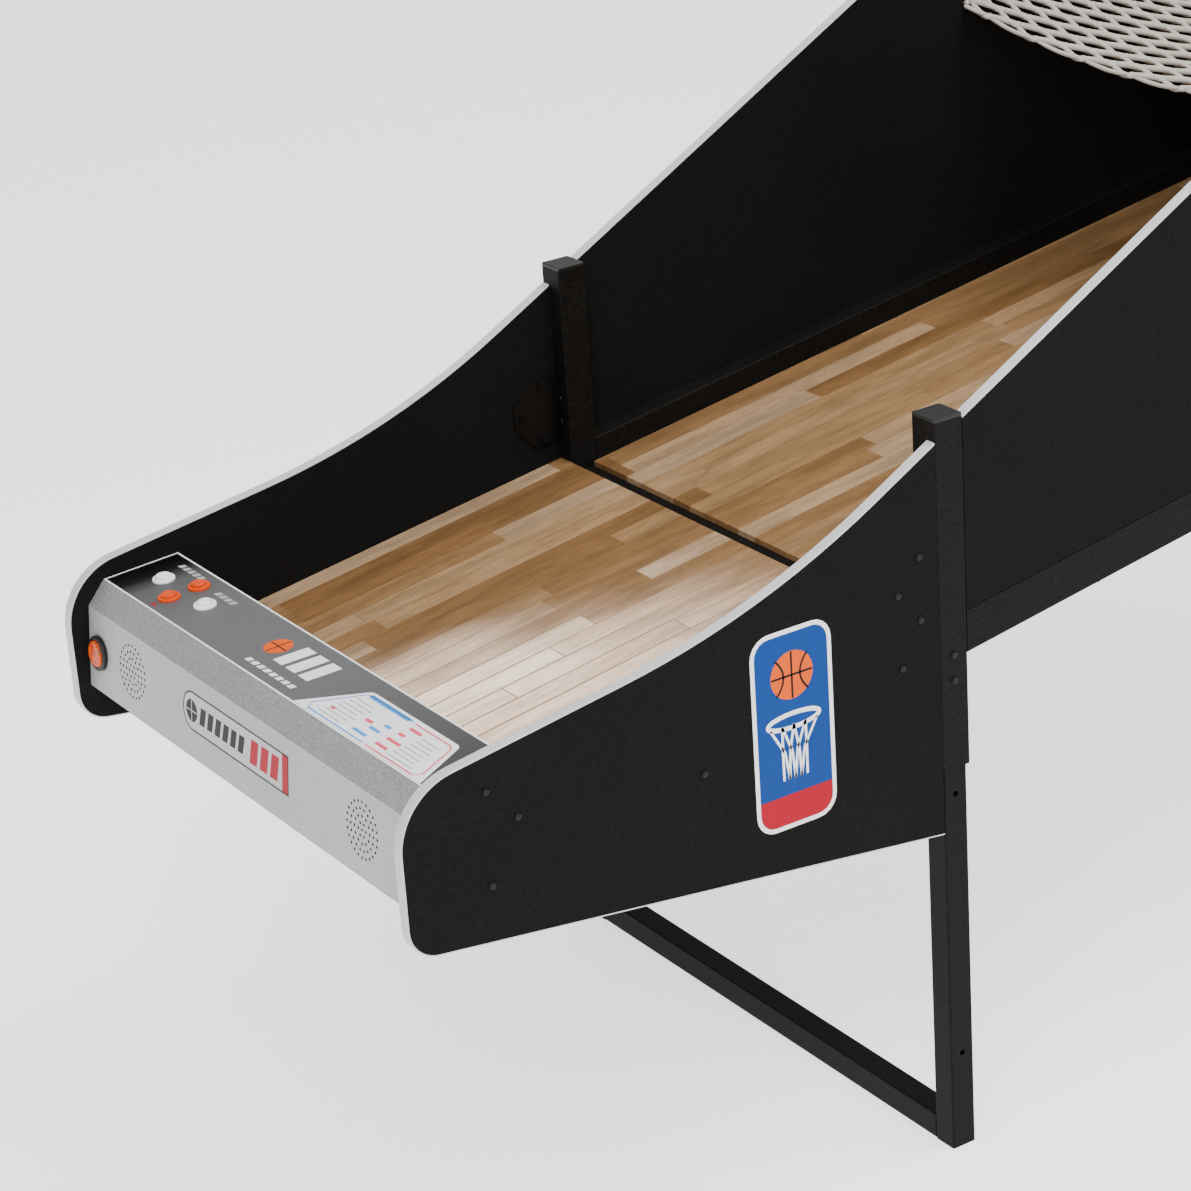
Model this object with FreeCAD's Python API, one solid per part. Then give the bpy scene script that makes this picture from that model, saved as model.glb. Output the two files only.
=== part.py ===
import FreeCAD, Part
import math
import os

from FreeCAD import Vector

# Free-standing basketball hoop machine, in millimetres.
# X runs across the machine, +Y from the player to the backboard, +Z up.
# Stations along Y are measured from the front face of the front posts, and
# every piece is exported with the middle of the machine at Y = 0.

# ---- overall sizes
WIDTH = 988.0            # over the posts, rails and side panels
LENGTH = 2560.0          # player's end of the side panels to the rear posts' backs
HEIGHT = 2440.0          # floor to the top of the rear posts' caps
REACH = 889.0            # how far the front side panels stand ahead of the posts

# ---- steel frame
POST = 50.0              # square post
POST_WALL = 3.5
LEG_GAP = 0.5            # leg in post, each side
LEG_WALL = 3.0
TUBE_ROUND = 3.0         # outside corner radius of every tube
POST_FOOT = 634.0        # height of the posts' lower ends
LEG_TOP = 832.0          # how far up the legs reach inside the posts
FRONT_POST_TOP = 1166.0
CAP_PLATE = 5.0
CAP_SOFT = 1.5
CAP_PLUG = 12.0
RAIL_TALL = 66.0         # side rails and crossbars are 50 x 66 tube
RAIL_WALL = 3.0
SLOPE = 0.15             # radians, ramp and rails rise towards the back
RAIL_FOOT = 799.7        # underside of the rails at station 0
CROSSBAR_TOP = 826.0
JOIST_TALL = 40.0
JOIST_WIDE = 25.0
JOIST_WALL = 2.0
JOIST_STATIONS = (280.0, 700.0, 1120.0, 1540.0)
RAIL_SCREW_STATIONS = (300.0, 830.0, 1360.0)
RAIL_SCREW_BITE = 30.0   # how far the rail screws stand in the rear panels

# ---- boards
BOARD = 18.0             # side panels
TRIM = 2.5               # T-mould over the exposed edges
TRIM_BARB = 8.0
TRIM_BARB_WIDE = 2.0
TRIM_GAP = 0.15
TRIM_SOFT = 1.8          # rounding along both edges of the T-mould
PANEL_TOP_AT_POST = 1138.0
PANEL_TOP_RISE = 0.543   # steep stretch of the top edge, rise per run
PANEL_FRONT_RISE = 0.148  # gentle stretch beside the console
PANEL_FRONT_LEVEL = 1017.0
PANEL_SWEEP = 1300.0     # radius between the two stretches
PANEL_FOOT_AT_POST = 533.6
PANEL_FOOT_FALL = 0.129
PANEL_TOP_CORNER = 100.0
PANEL_LOW_CORNER = 50.0
FRONT_RAMP_THICK = 6.0
REAR_RAMP_THICK = 9.0
RAMP_TOP_AT_POST = 843.5
RAMP_SIDE_GAP = 1.0
RAMP_END_GAP = 0.5
CLEAT = 25.0
CLEAT_THICK = 3.0
BACK_PANEL_THICK = 12.0
BACKBOARD_THICK = 18.0
BACKBOARD_FOOT = 1740.0
BACKBOARD_TOP = 2308.0

# ---- console
SHEET = 2.0
CONSOLE_TOP_FRONT = (-824.3, 866.3)
CONSOLE_TOP_REAR = (-697.0, 873.9)
CONSOLE_FOLD = (-853.6, 832.1)
CONSOLE_FOOT = (-866.6, 705.0)
CONSOLE_LIP = 14.0
BUTTONS_IN = 139.0       # middle of the button group from the left panel
BUTTONS_STATION = -759.3
BUTTON_SPREAD_X = 66.0
BUTTON_SPREAD_Y = 25.2
BEZEL_DIA = 35.0
BEZEL_TALL = 4.5
BUTTON_BODY_DIA = 27.6
BUTTON_HOLE_GAP = 0.2
BUTTON_DEEP = 26.0
CAP_DIA = 23.4
CAP_GAP = 0.4
CAP_PROUD = 4.2
CAP_DOME = 2.6
CAP_SKIRT = -10.0        # lower edge of the cap's wall, from the console's face
BODY_WALL = 3.0
BUTTON_TRAVEL = 3.0
START_IN = 34.0          # start button from the left panel
START_HEIGHT = 767.0
START_BEZEL_DIA = 54.0
START_BODY_DIA = 31.0
START_CAP_DIA = 41.0
START_CUP_TALL = 7.0     # black cup round the start button
START_PROUD = 3.5        # orange cap past the cup
START_TRAVEL = 4.0
START_SOFT = 2.4         # rounding of the cup's rim
STEM_DIA = 8.0
BUTTON_NUT_TALL = 6.0
BUTTON_NUT_OVER = 8.0    # nut wider than the body it is on
SWITCH = (28.0, 10.4, 16.0)
SWITCH_TAG = (1.0, 4.8, 7.0)
SWITCH_TAG_X = (-10.0, 0.0, 9.0)
SWITCH_GAP = 0.4
SPEAKERS_IN = (143.0, 136.0)   # left and right speaker from the side panels
SPEAKER_HEIGHT = 773.0
SPEAKER_DIA = 92.0
SPEAKER_RIM = 4.0
BASKET_DEEP = 18.0
MAGNET_DIA = 54.0
MAGNET_TALL = 14.0
SPEAKER_HOLE_DIA = 4.4
SPEAKER_RINGS = 4
SPEAKER_PITCH = 10.0

# ---- hoop
RING_MID = 165.0         # radius to the middle of the rod
ROD = 12.0
HOOP_HEIGHT = 1975.0
HOOP_NECK = 132.0        # backboard face to the back of the ring
HOOP_PLATE = 6.0
WALL_PLATE_HALF = 82.0
WALL_PLATE_DOWN = 80.0   # wall plate below and above the middle of the ring
WALL_PLATE_UP = 34.0
NECK_HALF = 58.0
GUSSET_OUT = 46.0        # middle plane of the gussets from the centre
GUSSET_THICK = 4.0
GUSSET_TALL = 74.0
GUSSET_DEEP = 112.0
WELD_GAP = 0.05          # ring to the neck that it is welded to
NET_WALL = 3.0
NET_LONG = 285.0
NET_WAIST = 108.0
NET_WAIST_AT = 0.78      # part of the net's length
NET_MOUTH = 118.0
NET_GAP = 0.3
LEVER_PIVOT_DROP = 26.0  # below the middle of the ring
LEVER_PIVOT_BACK = 20.0  # behind the ring's outside
LEVER_LONG = 98.0
LEVER_THICK = 3.0
LEVER_HUB_DIA = 10.0
PADDLE_DIA = 26.0
PIN_DIA = 4.4
PIN_GAP = 0.3

SENSOR_CABLE_DIA = 5.0
SENSOR_CABLE_BEND = 14.0
GROMMET_GAP = 0.8        # cable in its holes, each side

# ---- ball net
NET_HEM = 853.0          # station of the front hem
NET_HEM_HEIGHT = 1431.0  # at the side panels
NET_REAR_HEIGHT = 1640.0
NET_SAG = 50.0
NET_SHEET = 4.0
NET_HOOKS = 7            # hooks along each side panel
HOOK_ENDS = (0.12, 0.18)    # first and last hook from the net's ends, in spacings
HOOK_DIA = 4.0
HOOK_LONG = 16.0
HOOK_FLANGE_DIA = 9.0
HOOK_FLANGE_THICK = 2.0
HOOK_CLEAR = 1.5         # hook to the net above it

# ---- scoreboard
SCORE_DEEP = 76.0
SCORE_FOOT = 2312.0
SCORE_SHEET = 1.5
WINDOW_THICK = 3.0
DISPLAY_THICK = 8.0

# ---- fasteners
BOLT_DIA = 6.0
BOLT_HOLE_GAP = 0.25
HEAD_DIA = 11.0
HEAD_TALL = 3.0
NUT_WIDE = 10.0
NUT_TALL = 5.0
BOLT_OVER = 2.0          # shank past the nut

# ---- stations that follow
HALF = WIDTH / 2
BACK = LENGTH - REACH
MIDDLE = LENGTH / 2 - REACH
REAR_POST_FACE = BACK - POST
INNER = HALF - BOARD             # inner face of the side panels
POST_IN = HALF - POST            # inner face of posts and rails
LEG = POST - 2 * POST_WALL - 2 * LEG_GAP
LEG_INSET = (POST - LEG) / 2
RISE = math.tan(SLOPE)
TALL = RAIL_TALL / math.cos(SLOPE)          # rail height measured plumb
BACKBOARD_FACE = REAR_POST_FACE - BACKBOARD_THICK
BACK_PANEL_FACE = REAR_POST_FACE - BACK_PANEL_THICK
HOOP_STATION = BACKBOARD_FACE - HOOP_NECK - RING_MID - ROD / 2
CONSOLE_IN = INNER - SHEET
SPEAKER_X = (-INNER + SPEAKERS_IN[0], INNER - SPEAKERS_IN[1])
UP = Vector(0, 0, 1)
ACROSS = Vector(1, 0, 0)
INWARD = Vector(-1, 0, 0)
OUTWARD = Vector(1, 0, 0)
REARWARD = Vector(0, 1, 0)


def save(name, *shapes):
    """Write one node, with the middle of the machine moved to Y = 0."""
    group = shapes[0] if len(shapes) == 1 else Part.makeCompound(list(shapes))
    group = group.copy()
    group.translate(Vector(0, -MIDDLE, 0))
    group.exportStep(f"parts/{name}.step")


def block(x0, x1, y0, y1, z0, z1):
    return Part.makeBox(x1 - x0, y1 - y0, z1 - z0, Vector(x0, y0, z0))


def other_side(shape):
    return shape.mirror(Vector(0, 0, 0), ACROSS)


def both_sides(shape):
    return [shape, other_side(shape)]


def rod(start, direction, length, diameter):
    return Part.makeCylinder(diameter / 2, length, start, direction)


def rounded_wire(corners, closed):
    """Outline or path in the Y-Z plane from (y, z, radius) corners."""
    count = len(corners)
    edges = []
    ends = []
    for i, (y, z, radius) in enumerate(corners):
        here = Vector(0, y, z)
        if radius == 0:
            ends.append((here, here))
            continue
        before = Vector(0, corners[i - 1][0], corners[i - 1][1]) - here
        after = Vector(0, corners[(i + 1) % count][0], corners[(i + 1) % count][1]) - here
        before.normalize()
        after.normalize()
        half = before.getAngle(after) / 2
        back = radius / math.tan(half)
        first = here + before * back
        last = here + after * back
        toward = before + after
        toward.normalize()
        middle = here + toward * (radius / math.sin(half) - radius)
        ends.append((first, last))
        edges.append(Part.Arc(first, middle, last).toShape())
    for i in range(count if closed else count - 1):
        start = ends[i][1]
        stop = ends[(i + 1) % count][0]
        if (stop - start).Length > 1e-6:
            edges.append(Part.LineSegment(start, stop).toShape())
    return Part.Wire(Part.__sortEdges__(edges))


def slab(corners, x0, x1):
    """Extrude a Y-Z outline of (y, z, radius) corners from x0 to x1."""
    face = Part.Face(rounded_wire(corners, True))
    face.translate(Vector(x0, 0, 0))
    return face.extrude(Vector(x1 - x0, 0, 0))


def section(wide, tall, round_off):
    """Rounded rectangle in the X-Y plane, centred on the origin."""
    body = Part.makeBox(wide, tall, 1, Vector(-wide / 2, -tall / 2, 0))
    if round_off > 0:
        uprights = [e for e in body.Edges if abs(e.Vertexes[0].Z - e.Vertexes[1].Z) > 0.5]
        body = body.makeFillet(round_off, uprights)
    return [f for f in body.Faces if abs(f.CenterOfMass.z) < 1e-6][0]


def tube(wide, tall, wall, length):
    """Square or oblong tube standing along Z from the origin."""
    outer = section(wide, tall, TUBE_ROUND).extrude(UP * length)
    inner = section(wide - 2 * wall, tall - 2 * wall, max(TUBE_ROUND - wall, 0.0))
    return outer.cut(inner.extrude(UP * length))


def upright(x, y, size, wall, z0, z1):
    shape = tube(size, size, wall, z1 - z0)
    shape.translate(Vector(x, y, z0))
    return shape


def crossbar(y_mid, z_mid, deep, tall, wall, half_length):
    """Tube along X; deep is its Y size."""
    shape = tube(tall, deep, wall, 2 * half_length)
    shape.rotate(Vector(0, 0, 0), REARWARD, 90)
    shape.translate(Vector(-half_length, y_mid, z_mid))
    return shape


def screw(seat, direction, length):
    """Domed screw with its head on seat."""
    head = rod(seat - direction * HEAD_TALL, direction, HEAD_TALL, HEAD_DIA)
    rim = [e for e in head.Edges if (e.CenterOfMass - seat).Length > HEAD_TALL / 2]
    rim = [e for e in rim if len(e.Vertexes) == 1]
    head = head.makeFillet(HEAD_TALL * 0.8, rim)
    return head.fuse(rod(seat, direction, length, BOLT_DIA)).removeSplitter()


def bolt(seat, direction, grip):
    """Screw with its nut past the grip."""
    corner = NUT_WIDE / 2 / math.cos(math.pi / 6)
    side = direction.cross(UP if abs(direction.z) < 0.9 else ACROSS)
    side.normalize()
    flat = direction.cross(side)
    points = []
    for i in range(7):
        turn = math.pi / 3 * i
        points.append(side * (corner * math.cos(turn)) + flat * (corner * math.sin(turn)))
    start = seat + direction * grip
    ring = Part.Face(Part.makePolygon([start + p for p in points]))
    nut = ring.extrude(direction * NUT_TALL).cut(rod(start, direction, NUT_TALL, BOLT_DIA))
    return [screw(seat, direction, grip + NUT_TALL + BOLT_OVER), nut]


def drill(shape, seats, direction, grip):
    """Bore a clearance hole for each bolt."""
    dia = BOLT_DIA + 2 * BOLT_HOLE_GAP
    holes = [rod(s - direction, direction, grip + 2.0, dia) for s in seats]
    return shape.cut(holes)


def bolts(seats, direction, grip):
    made = []
    for seat in seats:
        made += bolt(seat, direction, grip)
    return made


os.makedirs("parts", exist_ok=True)


# ---- heights of the sloping lines at a station
def rail_foot(y):
    return RAIL_FOOT + y * RISE


def front_ramp_top(y):
    return RAMP_TOP_AT_POST + y * RISE


REAR_RAMP_START = POST - 8.0
REAR_RAMP_PLUMB = REAR_RAMP_THICK / math.cos(SLOPE)


def rear_ramp_foot(y):
    return CROSSBAR_TOP + (y - REAR_RAMP_START) * RISE


def panel_top(y):
    return PANEL_TOP_AT_POST + PANEL_TOP_RISE * y


# ---- where the bolts go: right-hand side, seats on the outer face
def outside(y, z):
    return Vector(HALF, y, z)


CLEAT_BOLT_DROP = FRONT_RAMP_THICK + CLEAT_THICK + NUT_WIDE * 0.6
CLEAT_BOLT_STATIONS = (-411.6, -67.6)
LEG_BOLT_HEIGHTS = (772.2, 811.3)
CONSOLE_BOLTS = [outside(-755.6, 853.0), outside(-710.0, 802.3), outside(-757.2, 716.0)]
CLEAT_BOLTS = [outside(y, front_ramp_top(y) - CLEAT_BOLT_DROP) for y in CLEAT_BOLT_STATIONS]
LEG_BOLTS = [Vector(HALF, POST / 2, z) for z in LEG_BOLT_HEIGHTS]
REAR_LEG_BOLTS = [Vector(HALF, BACK - POST / 2, z) for z in LEG_BOLT_HEIGHTS]

# ---- corner brackets: a plate on the panel and a flange on the post
BRACKET_THICK = 3.0
BRACKET_TALL = 116.0
BRACKET_REACH = 84.0
BRACKET_WAIST = 46.0     # straight part of its upper and lower edges
BRACKET_NOSE = 20.0      # half its height at the far end
BRACKET_FLANGE = 26.0
BRACKET_PANEL_BOLTS = ((33.0, 48.0), (72.0, 0.0), (33.0, -48.0))
BRACKET_FLANGE_BOLT = 20.0
SHOULDER = rail_foot(REAR_POST_FACE) + TALL + 2.0    # lower edge of the back panel's wide part
FRONT_BRACKET = (0.0, -1, 930.0)
REAR_BRACKET_HEIGHTS = (SHOULDER + 130.0, BACKBOARD_FOOT - 235.0)
REAR_BRACKETS = [(BACK_PANEL_FACE, -1, z) for z in REAR_BRACKET_HEIGHTS]


def bracket_seats(place):
    face, way, mid = place
    return [outside(face + way * out, mid + up) for out, up in BRACKET_PANEL_BOLTS]


def flange_seats(place):
    face, way, mid = place
    x = INNER - BRACKET_THICK - BRACKET_FLANGE / 2 + 1.0
    seat = face + way * BRACKET_THICK
    return [Vector(x, seat, mid + up) for up in (-BRACKET_FLANGE_BOLT, BRACKET_FLANGE_BOLT)]


def bracket(place):
    face, way, mid = place
    half = BRACKET_TALL / 2
    waist = face + way * BRACKET_WAIST
    tip = face + way * BRACKET_REACH
    corners = [(face, mid - half, 0), (waist, mid - half, 0), (tip, mid - BRACKET_NOSE, 6.0)]
    corners += [(tip, mid + BRACKET_NOSE, 6.0), (waist, mid + half, 0), (face, mid + half, 0)]
    plate = slab(corners, INNER - BRACKET_THICK, INNER)
    near = min(face, face + way * BRACKET_THICK)
    flange = block(INNER - BRACKET_FLANGE, INNER, near, near + BRACKET_THICK, mid - half, mid + half)
    shape = plate.fuse(flange).removeSplitter()
    shape = drill(shape, bracket_seats(place), INWARD, BOARD + BRACKET_THICK)
    return drill(shape, flange_seats(place), REARWARD * -way, BRACKET_THICK)


brackets = [FRONT_BRACKET] + REAR_BRACKETS
save("corner_brackets", *[s for place in brackets for s in both_sides(bracket(place))])

# ---- legs, posts and floor bars
POST_X = HALF - POST / 2
LEG_IN = POST_X - LEG / 2
LEG_HOLE_DIA = 9.0
LEG_HOLES = (160.0, 590.5)


def leg(y_mid, seats):
    shape = upright(POST_X, y_mid, LEG, LEG_WALL, 0.0, LEG_TOP)
    for z in LEG_HOLES:
        shape = shape.cut(rod(Vector(HALF, y_mid, z), INWARD, LEG_INSET + LEG_WALL * 2, LEG_HOLE_DIA))
    return drill(shape, seats, INWARD, LEG_INSET + LEG_WALL)


def post(y_mid, top, seats):
    shape = upright(POST_X, y_mid, POST, POST_WALL, POST_FOOT, top)
    return drill(shape, seats, INWARD, POST_WALL)


front_leg = leg(POST / 2, LEG_BOLTS)
rear_leg = leg(BACK - POST / 2, REAR_LEG_BOLTS)
save("front_leg_right", front_leg)
save("front_leg_left", other_side(front_leg))
save("rear_leg_right", rear_leg)
save("rear_leg_left", other_side(rear_leg))
save("front_floor_bar", crossbar(POST / 2, LEG / 2, LEG, LEG, LEG_WALL, LEG_IN))
save("rear_floor_bar", crossbar(BACK - POST / 2, LEG / 2, LEG, LEG, LEG_WALL, LEG_IN))

REAR_POST_TOP = HEIGHT - CAP_PLATE
FLANGE_GRIP = BRACKET_THICK + POST_WALL
REAR_FLANGE_GRIP = BRACKET_THICK + BACK_PANEL_THICK + POST_WALL

# ---- backboard and back panel bolts pass into the rear posts
BOARD_BOLT_X = POST_IN + 12.0
BACKBOARD_BOLT_END = 60.0     # end bolts from the board's upper and lower edges
PANEL_BOLT_END = (50.0, 40.0)
SCORE_BOLT_END = 30.0
backboard_heights = (BACKBOARD_FOOT + BACKBOARD_BOLT_END, (BACKBOARD_FOOT + BACKBOARD_TOP) / 2,
                     BACKBOARD_TOP - BACKBOARD_BOLT_END)
back_panel_heights = (SHOULDER + PANEL_BOLT_END[0], sum(REAR_BRACKET_HEIGHTS) / 2,
                      BACKBOARD_FOOT - PANEL_BOLT_END[1])
score_heights = (SCORE_FOOT + SCORE_BOLT_END, REAR_POST_TOP - SCORE_BOLT_END)
BACKBOARD_SEATS = [Vector(BOARD_BOLT_X, BACKBOARD_FACE, z) for z in backboard_heights]
BACK_PANEL_SEATS = [Vector(BOARD_BOLT_X, BACK_PANEL_FACE, z) for z in back_panel_heights]
SCORE_SEATS = [Vector(BOARD_BOLT_X, REAR_POST_FACE - SCORE_SHEET, z) for z in score_heights]

front_post = post(POST / 2, FRONT_POST_TOP, LEG_BOLTS)
front_post = drill(front_post, flange_seats(FRONT_BRACKET), REARWARD, FLANGE_GRIP)
rear_post = post(BACK - POST / 2, REAR_POST_TOP, REAR_LEG_BOLTS)
rear_post = drill(rear_post, BACKBOARD_SEATS, REARWARD, BACKBOARD_THICK + POST_WALL)
rear_post = drill(rear_post, BACK_PANEL_SEATS, REARWARD, BACK_PANEL_THICK + POST_WALL)
rear_post = drill(rear_post, SCORE_SEATS, REARWARD, SCORE_SHEET + POST_WALL)
for place in REAR_BRACKETS:
    rear_post = drill(rear_post, flange_seats(place), REARWARD, REAR_FLANGE_GRIP)
save("front_post_right", front_post)
save("front_post_left", other_side(front_post))
save("rear_post_right", rear_post)
save("rear_post_left", other_side(rear_post))


def post_cap(y_mid, top):
    inner = POST - 2 * POST_WALL - 2 * LEG_GAP
    plate = section(POST, POST, TUBE_ROUND).extrude(UP * CAP_PLATE)
    edges = [e for e in plate.Edges if e.CenterOfMass.z > CAP_PLATE - 1e-3]
    plate = plate.makeFillet(CAP_SOFT, edges)
    plug = section(inner, inner, 0).extrude(UP * CAP_PLUG)
    plug.translate(Vector(0, 0, -CAP_PLUG))
    shape = plate.fuse(plug)
    shape.translate(Vector(POST_X, y_mid, top))
    return shape


save("post_caps", *both_sides(post_cap(POST / 2, FRONT_POST_TOP)),
     *both_sides(post_cap(BACK - POST / 2, REAR_POST_TOP)))

# ---- rails, crossbars and joists, welded between the posts
SLOPE_NORMAL = Vector(0, -math.sin(SLOPE), math.cos(SLOPE))
BARB_MID = HALF - BOARD / 2
RAIL_SCREWS = [Vector(BARB_MID, y, rail_foot(y)) for y in RAIL_SCREW_STATIONS]
RAIL_SCREW_LONG = RAIL_TALL + RAIL_SCREW_BITE


def side_rail():
    length = (REAR_POST_FACE + POST) / math.cos(SLOPE)
    shape = tube(POST, RAIL_TALL, RAIL_WALL, length)
    shape.rotate(Vector(0, 0, 0), ACROSS, -90)
    shape.translate(Vector(0, 0, RAIL_TALL / 2))
    shape.rotate(Vector(0, 0, 0), ACROSS, math.degrees(SLOPE))
    shape.translate(Vector(POST_X, 0, RAIL_FOOT))
    span = block(0, WIDTH, POST, REAR_POST_FACE, 0, HEIGHT)
    return drill(shape.common(span), RAIL_SCREWS, SLOPE_NORMAL, RAIL_TALL)


rail = side_rail()
save("side_rail_right", rail)
save("side_rail_left", other_side(rail))
save("front_crossbar", crossbar(POST / 2, CROSSBAR_TOP - RAIL_TALL / 2, POST, RAIL_TALL, RAIL_WALL, POST_IN))
REAR_CROSSBAR_DROP = 10.0     # below the rails' undersides, to clear the back panel's screws
REAR_CROSSBAR_TOP = rail_foot(REAR_POST_FACE) - REAR_CROSSBAR_DROP
save("rear_crossbar",
     crossbar(BACK - POST / 2, REAR_CROSSBAR_TOP - RAIL_TALL / 2, POST, RAIL_TALL, RAIL_WALL, POST_IN))
save("top_crossbar", crossbar(BACK - POST / 2, REAR_POST_TOP - POST / 2, POST, POST, POST_WALL, POST_IN))


def joist(y):
    shape = crossbar(0, -JOIST_TALL / 2, JOIST_WIDE, JOIST_TALL, JOIST_WALL, POST_IN)
    shape.rotate(Vector(0, 0, 0), ACROSS, math.degrees(SLOPE))
    shape.translate(Vector(0, y, rear_ramp_foot(y)))
    return shape


save("ramp_joists", *[joist(y) for y in JOIST_STATIONS])


# ---- side panels with their T-mould trim
def front_outline(inset):
    """Front side panel, run past the post line and cut there afterwards."""
    past = 60.0
    shift_front = inset * math.hypot(1, PANEL_FRONT_RISE)
    shift_top = inset * math.hypot(1, PANEL_TOP_RISE)
    shift_foot = inset * math.hypot(1, PANEL_FOOT_FALL)
    level = PANEL_FRONT_LEVEL - shift_front
    steep = PANEL_TOP_AT_POST - shift_top
    foot = PANEL_FOOT_AT_POST + shift_foot
    edge = -REACH + inset
    meet = (level - steep) / (PANEL_TOP_RISE - PANEL_FRONT_RISE)
    corners = [(past, foot - PANEL_FOOT_FALL * past, 0)]
    corners.append((past, steep + PANEL_TOP_RISE * past, 0))
    corners.append((meet, steep + PANEL_TOP_RISE * meet, PANEL_SWEEP + inset))
    corners.append((edge, level + PANEL_FRONT_RISE * edge, PANEL_TOP_CORNER - inset))
    corners.append((edge, foot - PANEL_FOOT_FALL * edge, PANEL_LOW_CORNER - inset))
    return corners


def rear_outline(inset):
    shift = inset * math.hypot(1, PANEL_TOP_RISE)
    y0 = POST
    y1 = REAR_POST_FACE
    corners = [(y0, rail_foot(y0) + TALL, 0), (y1, rail_foot(y1) + TALL, 0)]
    corners += [(y1, panel_top(y1) - shift, 0), (y0, panel_top(y0) - shift, 0)]
    return corners


FRONT_SPAN = block(-WIDTH, WIDTH, -REACH - 10, 0, 0, HEIGHT)
REAR_SPAN = block(-WIDTH, WIDTH, 0, BACK, 0, HEIGHT)


def all_round(edge):
    return True


def along_top(edge):
    middle = edge.CenterOfMass
    return edge.BoundBox.YLength > POST and middle.z > rail_foot(middle.y) + TALL + BOARD


def soften(shape, exposed):
    """Round the long edges of both side faces where the trim is exposed."""
    long_edges = [e for e in shape.Edges if e.BoundBox.XLength < 1e-6]
    return shape.makeFillet(TRIM_SOFT, [e for e in long_edges if exposed(e)])


def board_and_trim(outline, span, seats, exposed):
    """A panel with a groove in its exposed edges, and the T-mould in it."""
    deep = TRIM + TRIM_BARB
    half = TRIM_BARB_WIDE / 2
    outer = soften(slab(outline(0), INNER, HALF), exposed)
    core = slab(outline(TRIM), INNER, HALF)
    groove = slab(outline(TRIM), BARB_MID - half - TRIM_GAP, BARB_MID + half + TRIM_GAP)
    groove = groove.cut(slab(outline(deep + TRIM_GAP), INNER, HALF))
    barb = slab(outline(TRIM), BARB_MID - half, BARB_MID + half).cut(slab(outline(deep), INNER, HALF))
    panel = core.cut(groove)
    trim = outer.cut(core).fuse(barb).removeSplitter()
    return drill(panel.common(span), seats, INWARD, BOARD), trim.common(span)


front_seats = CONSOLE_BOLTS + CLEAT_BOLTS + bracket_seats(FRONT_BRACKET)
front_panel, front_trim = board_and_trim(front_outline, FRONT_SPAN, front_seats, all_round)
save("front_panel_right", front_panel)
save("front_panel_left", other_side(front_panel))
save("front_trims", *both_sides(front_trim))


rear_seats = [s for place in REAR_BRACKETS for s in bracket_seats(place)]
rear_panel, rear_trim = board_and_trim(rear_outline, REAR_SPAN, rear_seats, along_top)
rear_panel = drill(rear_panel, RAIL_SCREWS, SLOPE_NORMAL, RAIL_SCREW_LONG)
save("rear_panel_right", rear_panel)
save("rear_panel_left", other_side(rear_panel))
save("rear_trims", *both_sides(rear_trim))

# ---- ramps
RAMP_FRONT = CONSOLE_TOP_REAR[0] + RAMP_END_GAP
FRONT_RAMP_PLUMB = FRONT_RAMP_THICK / math.cos(SLOPE)
RAMP_HALF = INNER - RAMP_SIDE_GAP


def sloping_board(y0, y1, top, plumb, half):
    corners = [(y0, top(y0) - plumb, 0), (y1, top(y1) - plumb, 0), (y1, top(y1), 0), (y0, top(y0), 0)]
    return slab(corners, -half, half)


save("front_ramp", sloping_board(RAMP_FRONT, -RAMP_END_GAP, front_ramp_top, FRONT_RAMP_PLUMB, RAMP_HALF))


def rear_ramp_top(y):
    return rear_ramp_foot(y) + REAR_RAMP_PLUMB


save("rear_ramp", sloping_board(REAR_RAMP_START, BACK_PANEL_FACE - RAMP_END_GAP, rear_ramp_top,
                                REAR_RAMP_PLUMB, POST_IN - RAMP_SIDE_GAP))


def cleat(y0, y1, drop):
    """Steel angle under the edge of the front ramp."""
    z = front_ramp_top(y0) - drop
    low = z - CLEAT
    inner = INNER - CLEAT
    points = [(INNER, z), (inner, z), (inner, z - CLEAT_THICK), (INNER - CLEAT_THICK, z - CLEAT_THICK)]
    points += [(INNER - CLEAT_THICK, low), (INNER, low), (INNER, z)]
    face = Part.Face(Part.makePolygon([Vector(x, y0, h) for x, h in points]))
    shape = face.extrude(Vector(0, y1 - y0, (y1 - y0) * RISE))
    return drill(shape, CLEAT_BOLTS, INWARD, BOARD + CLEAT_THICK)


CLEAT_END = 6.0          # cleat short of the ramp at each end
save("ramp_cleats", *both_sides(cleat(RAMP_FRONT + CLEAT_END, -CLEAT_END, FRONT_RAMP_PLUMB)))


# ---- back panel, with a tongue between the rails down to the ramp
def face_on(points, y):
    return Part.Face(Part.makePolygon([Vector(x, y, z) for x, z in points + points[:1]]))


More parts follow.
